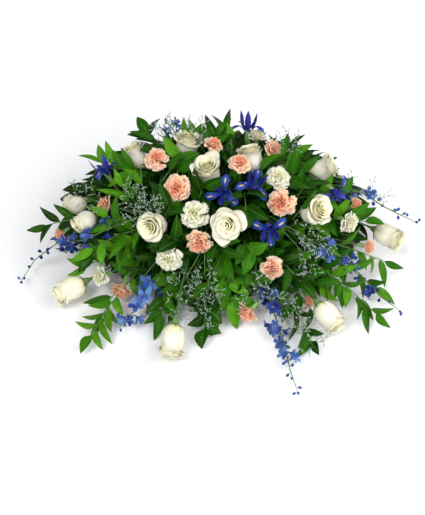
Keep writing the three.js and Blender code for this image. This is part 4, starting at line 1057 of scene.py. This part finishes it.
def clear_of_flowers(root, middle, tip, heads, bold):
    """True where a leaf stands in no head, and hides neither a head's face nor, from the front, a
    head, a spike or a spray. A bold leaf may stand nearer to them, and before a spray."""
    clear = np.ones(len(middle), bool)
    for head in heads:
        slack = np.where(bold & (head.kind != "iris"), NEARER, 1.0)
        for each, near in ((middle, 0.98), (tip, 0.92)):
            gap = each - head.middle
            ahead = gap @ head.faces
            off = np.linalg.norm(gap - ahead[:, None] * head.faces, axis=1)
            clear &= np.linalg.norm(gap, axis=1) > head.reach * near
            clear &= ~((ahead > 0) & (ahead < BEFORE_FACE * slack) & (off < head.reach * 0.8 * slack))
        if head.seen:
            for each, wide in ((root, 0.6), (middle, 0.88), (tip, 0.75)):
                clear &= ~in_sight_of(each, head.middle[None], head.reach * wide * slack[:, None])
    share = np.linspace(0.04, 1, 14)
    spikes = np.concatenate([path.at(share) for path in SPIKE_PATHS.values()])
    sprays = np.concatenate([path.at(share) for paths in SPRAY_PATHS.values() for path in paths])
    slack = np.where(bold, NEARER, 1.0)[:, None]
    clear &= ~in_sight_of(middle, spikes, BY_SPIKE["middle"] * slack)
    clear &= ~in_sight_of(tip, spikes, BY_SPIKE["tip"] * slack)
    return clear & (bold | ~in_sight_of(middle, sprays, BY_SPRAY))


def leaves_along(path, count, start, seed):
    """The leaves of a leafy stem: they alternate on both sides, and the last stands at its tip. They
    turn their faces out of the dome, and in front also to the viewer."""
    i = np.arange(count)
    last = i == count - 1
    t = np.where(last, 0.995, start + (1 - start) * i / max(count - 1, 1))
    root, ahead = path.at(t), path.ahead(t)
    front = np.clip((120 - root[:, 1:2]) / 200, 0, 1)
    out = unit(outward(root) + 0.7 * front * TOWARD)
    spread = np.where(last, 0, np.where(i % 2, 1, -1) * (0.7 + 0.4 * draw(seed + i)))
    rise = (0.5 * draw(seed + i + 20))[:, None]
    way = unit(turned(ahead, unit(np.cross(ahead, out)), spread) + out * rise)
    square = unit(out - (out * way).sum(-1, keepdims=True) * way)
    up = turned(square, np.cross(way, square), (draw(seed + i + 60) - 0.5) * 1.5)
    length = LEAF["length"] * (0.75 + 0.45 * draw(seed + i + 40)) * (1 - 0.15 * t)
    broad = 0.6 + 0.25 * draw(seed) + 0.5 * np.clip(1 - np.abs(root[:, 0]) / 190, 0, 1) * (root[:, 1] < 0)
    width = LEAF["width"] * broad * (0.85 + 0.3 * draw(seed + i + 80)) * (1 - 0.1 * t)
    return root, way, up, length, width


def leafy_stems():
    """The stems seen in the front view, sprigs that stand up between its flowers, and short shoots that
    fill the dome evenly between the heads. Each is a path, its count of leaves, where they start, its
    seed, how light its leaves are from their age and from painted shade deep in the spray, and whether
    they may stand near the flowers."""
    stems = []
    for k, (bend, tip, rest, count) in enumerate(RUSCUS_SEEN + DRAPES):
        end = place(tip, rest, -18)
        quarter = str(quarter_of(end))
        elbow = into_quarter(place(bend, rest + 14, 10) + [0, 0, 6], quarter)
        path = Path.bent(core_point(elbow, quarter), elbow, end)
        hung = k >= len(RUSCUS_SEEN)
        age_and_shade = 0.85 if k in YOUNG else (0.12 if hung else 0.28) + 0.65 * draw(k + 7600)
        stems.append((path, round(count * (1.1 if hung else 1.6)), 0.2, 2000 + 100 * k, age_and_shade, not hung))
    for k, (foot, tip, count) in enumerate(SPRIGS):
        path = Path.bent(place(foot, 60, 34), place(foot, 60, 6), place(tip, 60, -4))
        stems.append((path, count, 0.25, 5000 + 50 * k, 0.24 + 0.66 * draw(k + 7700), True))
    for k in range(SHOOTS):
        rise = np.degrees(np.arcsin(0.04 + 0.94 * (k + 0.5) / SHOOTS))
        depth = draw(k + 7300) ** 0.7
        tip = on_dome(np.degrees(k * GOLDEN_TURN), rise, 0.62 + 0.26 * depth)
        tip[0] *= FILL["left"] if tip[0] < 0 else FILL["right"]
        tip[1] *= FILL["back"] if tip[1] > 0 else 1
        tip[2] = max(tip[2], 26)
        elbow = tip * 0.8 + [0, 0, 12 + 30 * (draw(k + 7400) - 0.5)]
        path = Path.bent(core_point(elbow, str(quarter_of(tip))), elbow, tip)
        start = max(1 - SHOOT_LENGTH / path.length, 0.05)
        # Shoots that end deeper inside the dome get darker leaves: painted shade.
        age_and_shade = 0.65 * depth - 0.2 + 0.55 * draw(k + 7500)
        stems.append((path, SHOOT_LEAVES, start, 6000 + 100 * k, age_and_shade, False))
    return stems


def core_leaves():
    """Leaves that cover the mound over the foam. Each leans down the mound and stands off it a little."""
    i = np.arange(CORE_LEAVES)
    height = (i + 0.5) / CORE_LEAVES
    east, north = np.cos(i * GOLDEN_TURN), np.sin(i * GOLDEN_TURN)
    flat = np.sqrt(1 - height**2)
    ball = np.stack([flat * east, flat * north, height], -1)
    root = ball * CORE * (0.86 + 0.2 * draw(i + 7900))[:, None] + [0, 0, CORE_BASE]
    out = unit(ball / CORE)
    down = unit(np.stack([east * height, north * height, -flat], -1) * CORE)
    sway = 0.6 * (2 * draw(i + 8000) - 1)
    lean = 0.75 * (0.6 + 0.8 * draw(i + 8200))
    way = unit(down + np.cross(out, down) * sway[:, None] + out * lean[:, None])
    length = LEAF["length"] * (1.0 + 0.35 * draw(i + 8100))
    return root, way, out, length, np.full(CORE_LEAVES, LEAF["width"] * 1.15)


def make_greens(heads):
    """The four greens: leafy stems, leaves over the foam, and the heads' stems with their calyxes."""
    pieces = {quarter: Piece(LEAVES, GREEN) for quarter in ("left", "right", "front", "back")}
    batches, carried = [], []
    for path, count, start, seed, age_and_shade, bold in leafy_stems():
        quarter = str(quarter_of(path.at(1.0)))
        pieces[quarter].stem(path, [0, 0.001, 0.33, 0.66, 0.999, 1], [0, 1.6, 1.5, 1.2, 0.8, 0], 5, 0.35)
        batches.append(leaves_along(path, count, start, seed))
        carried += [(quarter, age_and_shade, bold)] * count
    batches.append(core_leaves())
    # The leaves over the foam get the darkest tint: painted shade deep inside the spray.
    carried += [(quarter, -0.06, False) for quarter in quarter_of(batches[-1][0])]
    root, way, up, length, width = (np.concatenate(values) for values in zip(*batches))
    homes, age_and_shade, bold = (np.array(values) for values in zip(*carried))
    way[:, 2] = np.maximum(way[:, 2], (HANG - root[:, 2]) / length)
    way = unit(way)
    for _ in range(3):
        way = unit(np.clip(root + way * length[:, None], LOW - ROOM, HIGH + ROOM) - root)
    tip = root + way * length[:, None]
    keep = clear_of_flowers(root, root + way * (length * 0.55)[:, None], tip, heads, bold)
    keep &= ((tip > LOW - ROOM - 2) & (tip < HIGH + ROOM + 2)).all(1)
    i = np.arange(len(root))
    # Painted shade: the deeper a leaf's root lies inside the dome, the darker its tint.
    sunk = np.clip(0.9 - np.linalg.norm(root / DOME, axis=1), 0, 0.5)
    tint = np.clip(age_and_shade + 0.6 * (draw(i + 9000) - 0.5) - 1.1 * sunk, 0, 1)
    bend, fold = 0.02 + 0.12 * draw(i + 9500), 0.1 + 0.35 * draw(i + 9900)
    twist = 0.8 * (draw(i + 9700) - 0.5)
    grids = leaf_grids(root, way, up, length, width, bend, fold, twist)
    grids[..., 2] = np.maximum(grids[..., 2], LOWEST)
    for quarter, piece in pieces.items():
        own = keep & (homes == quarter)
        piece.blades(grids[own], LEAF["thickness"], LEAVES, tint[own])
    for head in heads:
        add_stem(pieces, head)
    thick = [(path, 1.9) for path in SPIKE_PATHS.values()]
    fine = [(path, 1.3) for paths in SPRAY_PATHS.values() for path in paths]
    for path, radius in thick + fine:
        foot = path.at(0.0)
        add_foot(pieces, str(quarter_of(foot)), foot, path.ahead(0.0), 2, radius, 0.1)
    for quarter, piece in pieces.items():
        piece.finish(f"greens_{quarter}_leaves", "foliage", f"greens_{quarter}")


def add_foot(pieces, quarter, seat, faces, past, radius, tint):
    """The bare stem from inside the foam to a seat and a little past it. The lower it bends on its
    way, the lower it starts."""
    bend = into_quarter(seat - faces * 0.3 * np.linalg.norm(seat), quarter)
    bend[2] = max(bend[2], CORE_BASE + 16)
    x, y = np.clip(bend[:2] * [0.4, 0.25], -STEM_ROOM, STEM_ROOM)
    start = np.array([x, y, min(CORE_BASE + 8 + 0.22 * bend[2], FOAM["top"] - 12)])
    path = Path.bent(start, bend, seat + faces * past)
    pieces[quarter].stem(path, [0, 0.001, 0.2, 0.4, 0.6, 0.8, 0.999, 1], [0, *[radius] * 6, 0], 8, tint)


def add_stem(pieces, head):
    """A head's stem from the foam to its calyx: a swelling with five sepals under a rose, a plain tube
    with five teeth under a carnation, and a sheath of two bracts under an iris."""
    share, radius, yellow, sepals = CALYXES[head.kind.split("_")[0]]
    faces, calyx, size = head.faces, head.calyx, head.size
    long = CALYX_LENGTH * calyx
    base = head.seat - faces * long
    quarter = str(quarter_of(head.seat))
    add_foot(pieces, quarter, base, faces, 1, 2.1, 0.12)
    piece = pieces[quarter]
    piece.rods(rays(base, faces, np.array(share) * long)[None], np.array(radius) * calyx, 10, GREEN, yellow)
    blades, length, wide, lean, foot, apart, steep, yellow = sepals
    s = np.linspace(0, 1, 6)
    spoke = turned(head.turn[:, 0], head.turn[:, 1], 2 * np.pi * np.arange(blades) / blades + size * 9)
    start = np.broadcast_to(base + faces * long * foot, spoke.shape)
    centre = rays(start, spoke, calyx * apart + lean * length * size * s**1.4)
    centre = centre + faces * (length * size * s * steep)[:, None]
    side = np.broadcast_to(np.cross(faces, spoke)[:, None], centre.shape)
    lift = np.cross(side, unit(np.gradient(centre, axis=1)))
    half = wide * size * np.interp(s, [0, 0.3, 0.7, 1], [0.9, 1.0, 0.6, 0.06])
    piece.blades(ribbons(centre, side, lift, half, -0.35, 4), 0.7, GREEN, yellow)


# Foam and tray

# Loops round the tray, from the middle of its foot up the outside, over the rim and down to its
# floor, and round the foam from bottom to top: inset from the full outline, and height
RIM, BED = TRAY["height"], TRAY["floor"]
TRAY_LOOPS = [
    (14, 1.2), (12, 0), (7.5, 0), (5.5, 1.5), (5, 4), (4.6, 20), (4.4, RIM - 6), (3.6, RIM - 3.8),
    (0.6, RIM - 3.4), (0, RIM - 2.4), (0, RIM - 0.8), (0.8, RIM), (6.2, RIM), (7.4, RIM - 1),
    (7.8, RIM - 4), (8.2, BED + 3), (9.4, BED + 0.4), (12, BED),
]
BOTTOM, TOP = FOAM["bottom"], FOAM["top"]
FOAM_LOOPS = [
    (2, BOTTOM), (0.6, BOTTOM + 1), (0.3, 20), (0.3, 40), (0.3, 60), (0.3, 80),
    (0.5, TOP - 8), (1.6, TOP - 2), (5, TOP - 0.3), (30, TOP),
]
TRAY_ROUND, FOAM_ROUND = 160, 96  # points round each loop


def rounded_outline(size, inset, corner, count):
    """Points round a rectangle with rounded corners: a quarter circle about each corner's middle."""
    length, width = size["length"] - 2 * inset, size["width"] - 2 * inset
    parts = []
    for k, (x, y) in enumerate([(1, 1), (-1, 1), (-1, -1), (1, -1)]):
        a = np.linspace(0, np.pi / 2, count // 4) + k * np.pi / 2
        middle = np.array([x * (length / 2 - corner), y * (width / 2 - corner)])
        parts.append(middle + corner * np.stack([np.cos(a), np.sin(a)], -1))
    return np.concatenate(parts)


def make_skin(name, slot, node, finish, outlines):
    """A closed skin through outlines and their heights: the first and last close in a middle point."""
    loops = np.array([np.column_stack([flat, np.full(len(flat), z)]) for flat, z in outlines])
    ends = loops[:1].mean(1), loops[-1:].mean(1)
    points = np.concatenate([ends[0], loops.reshape(-1, 3), ends[1]])
    piece = Piece(finish)
    size = len(points)
    uv, rim = np.zeros((size, 2)), np.zeros(size, bool)
    piece.add(finish, points[None], ring_faces(*loops.shape[:2]), uv, rim, 0.0, 0.0)
    piece.finish(name, slot, node)


def make_tray():
    """The tray: its profile runs up the outside, over a rolled rim with a lip, and down the inside,
    with shallow ribs round the wall."""
    outlines = []
    for inset, z in TRAY_LOOPS:
        flat = rounded_outline(TRAY, inset, max(TRAY["corner"] - inset, 4), TRAY_ROUND)
        rib = 0.5 * (np.arange(len(flat)) % 4 < 2) * (4.2 <= inset <= 5.2)
        outlines.append((flat * (1 - rib[:, None] / 150), z))
    make_skin("tray_shell", "tray_plastic", "tray", tray_plastic(), outlines)


def make_foam():
    """The brick of foam: loops with rounded corners, worn a little by the stems pushed into it."""
    outlines = []
    for inset, z in FOAM_LOOPS:
        flat = rounded_outline(FOAM, inset, FOAM["corner"], FOAM_ROUND)
        crumble = 0.6 * draw(np.arange(len(flat)) * 3 + z * 7)
        outlines.append((flat * (1 - crumble[:, None] / 200), z))
    make_skin("foam_brick", "foam", "floral_foam", foam_cells(), outlines)


# Studio, in metres

FLOOR = 6.0  # half a side
DAYLIGHT = 0.36
LENS, SENSOR = 89.6, 36.0
PICTURE_MIDDLE = np.array([-10.5, -64.0])  # [across, up] in the front view, in millimetres
# Lamps: kind, the side each shines from, power, and its angle or its size. The key is a large soft
# one from the upper left.
LAMPS = {
    "key": ("SUN", (-0.45, -0.55, 1.0), 1.65, np.radians(24)),
    "front": ("SUN", (0.3, -1.0, 0.5), 1.15, np.radians(40)),
    "fill": ("AREA", (1.8, -0.8, 2.0), 50, 2.5),
}


def put(name, data, back=None, where=(0, 0, 0)):
    """An object in the scene. A lamp or camera turns its back one way, with its top up."""
    made = bpy.data.objects.new(name, data)
    made.location = where
    if back is not None:
        made.rotation_mode = "QUATERNION"
        made.rotation_quaternion = (-Vector(back)).to_track_quat("-Z", "Y")
    bpy.context.scene.collection.objects.link(made)
    return made


def make_studio():
    """A pale floor, soft light from all round, the lamps, and the camera."""
    corners = [(x * FLOOR, y * FLOOR, 0) for x, y in [(-1, -1), (1, -1), (1, 1), (-1, 1)]]
    floor = bpy.data.meshes.new("floor")
    floor.from_pydata(corners, [], [(0, 1, 2, 3)])
    paper = Finish("pale_floor", {"Roughness": 0.9})
    grain = paper.noise(paper.here(), 60.0, 3.0)
    floor.materials.append(paper.done(paper.mix(grain, (0.91, 0.91, 0.92), (0.92, 0.92, 0.93))))
    put("floor", floor)

    world = bpy.data.worlds.new("studio")
    world.use_nodes = True
    colour, strength = world.node_tree.nodes["Background"].inputs[:2]
    colour.default_value, strength.default_value = (0.96, 0.98, 1.0, 1), DAYLIGHT
    bpy.context.scene.world = world
    for name, (kind, back, power, spread) in LAMPS.items():
        light = bpy.data.lights.new(name, kind)
        light.energy = power
        setattr(light, "angle" if kind == "SUN" else "size", spread)
        put(name, light, back, back)

    camera = bpy.data.cameras.new("camera")
    camera.sensor_width, camera.lens, camera.clip_end = SENSOR, LENS, 50
    eye = (TOWARD * VIEW_DISTANCE + PICTURE_MIDDLE @ [RIGHT, UP]) * MM
    bpy.context.scene.camera = put("camera", camera, TOWARD, eye)
    bpy.context.scene.view_settings.view_transform = "Standard"


heads = all_heads()
for head in heads:
    head.make()
for k, name in enumerate(SPIKES):
    make_spike(name, 300 + 100 * k)
for k, name in enumerate(SPRAYS):
    make_sprays(name, 1300 + 100 * k)
make_greens(heads)
make_foam()
make_tray()
make_studio()
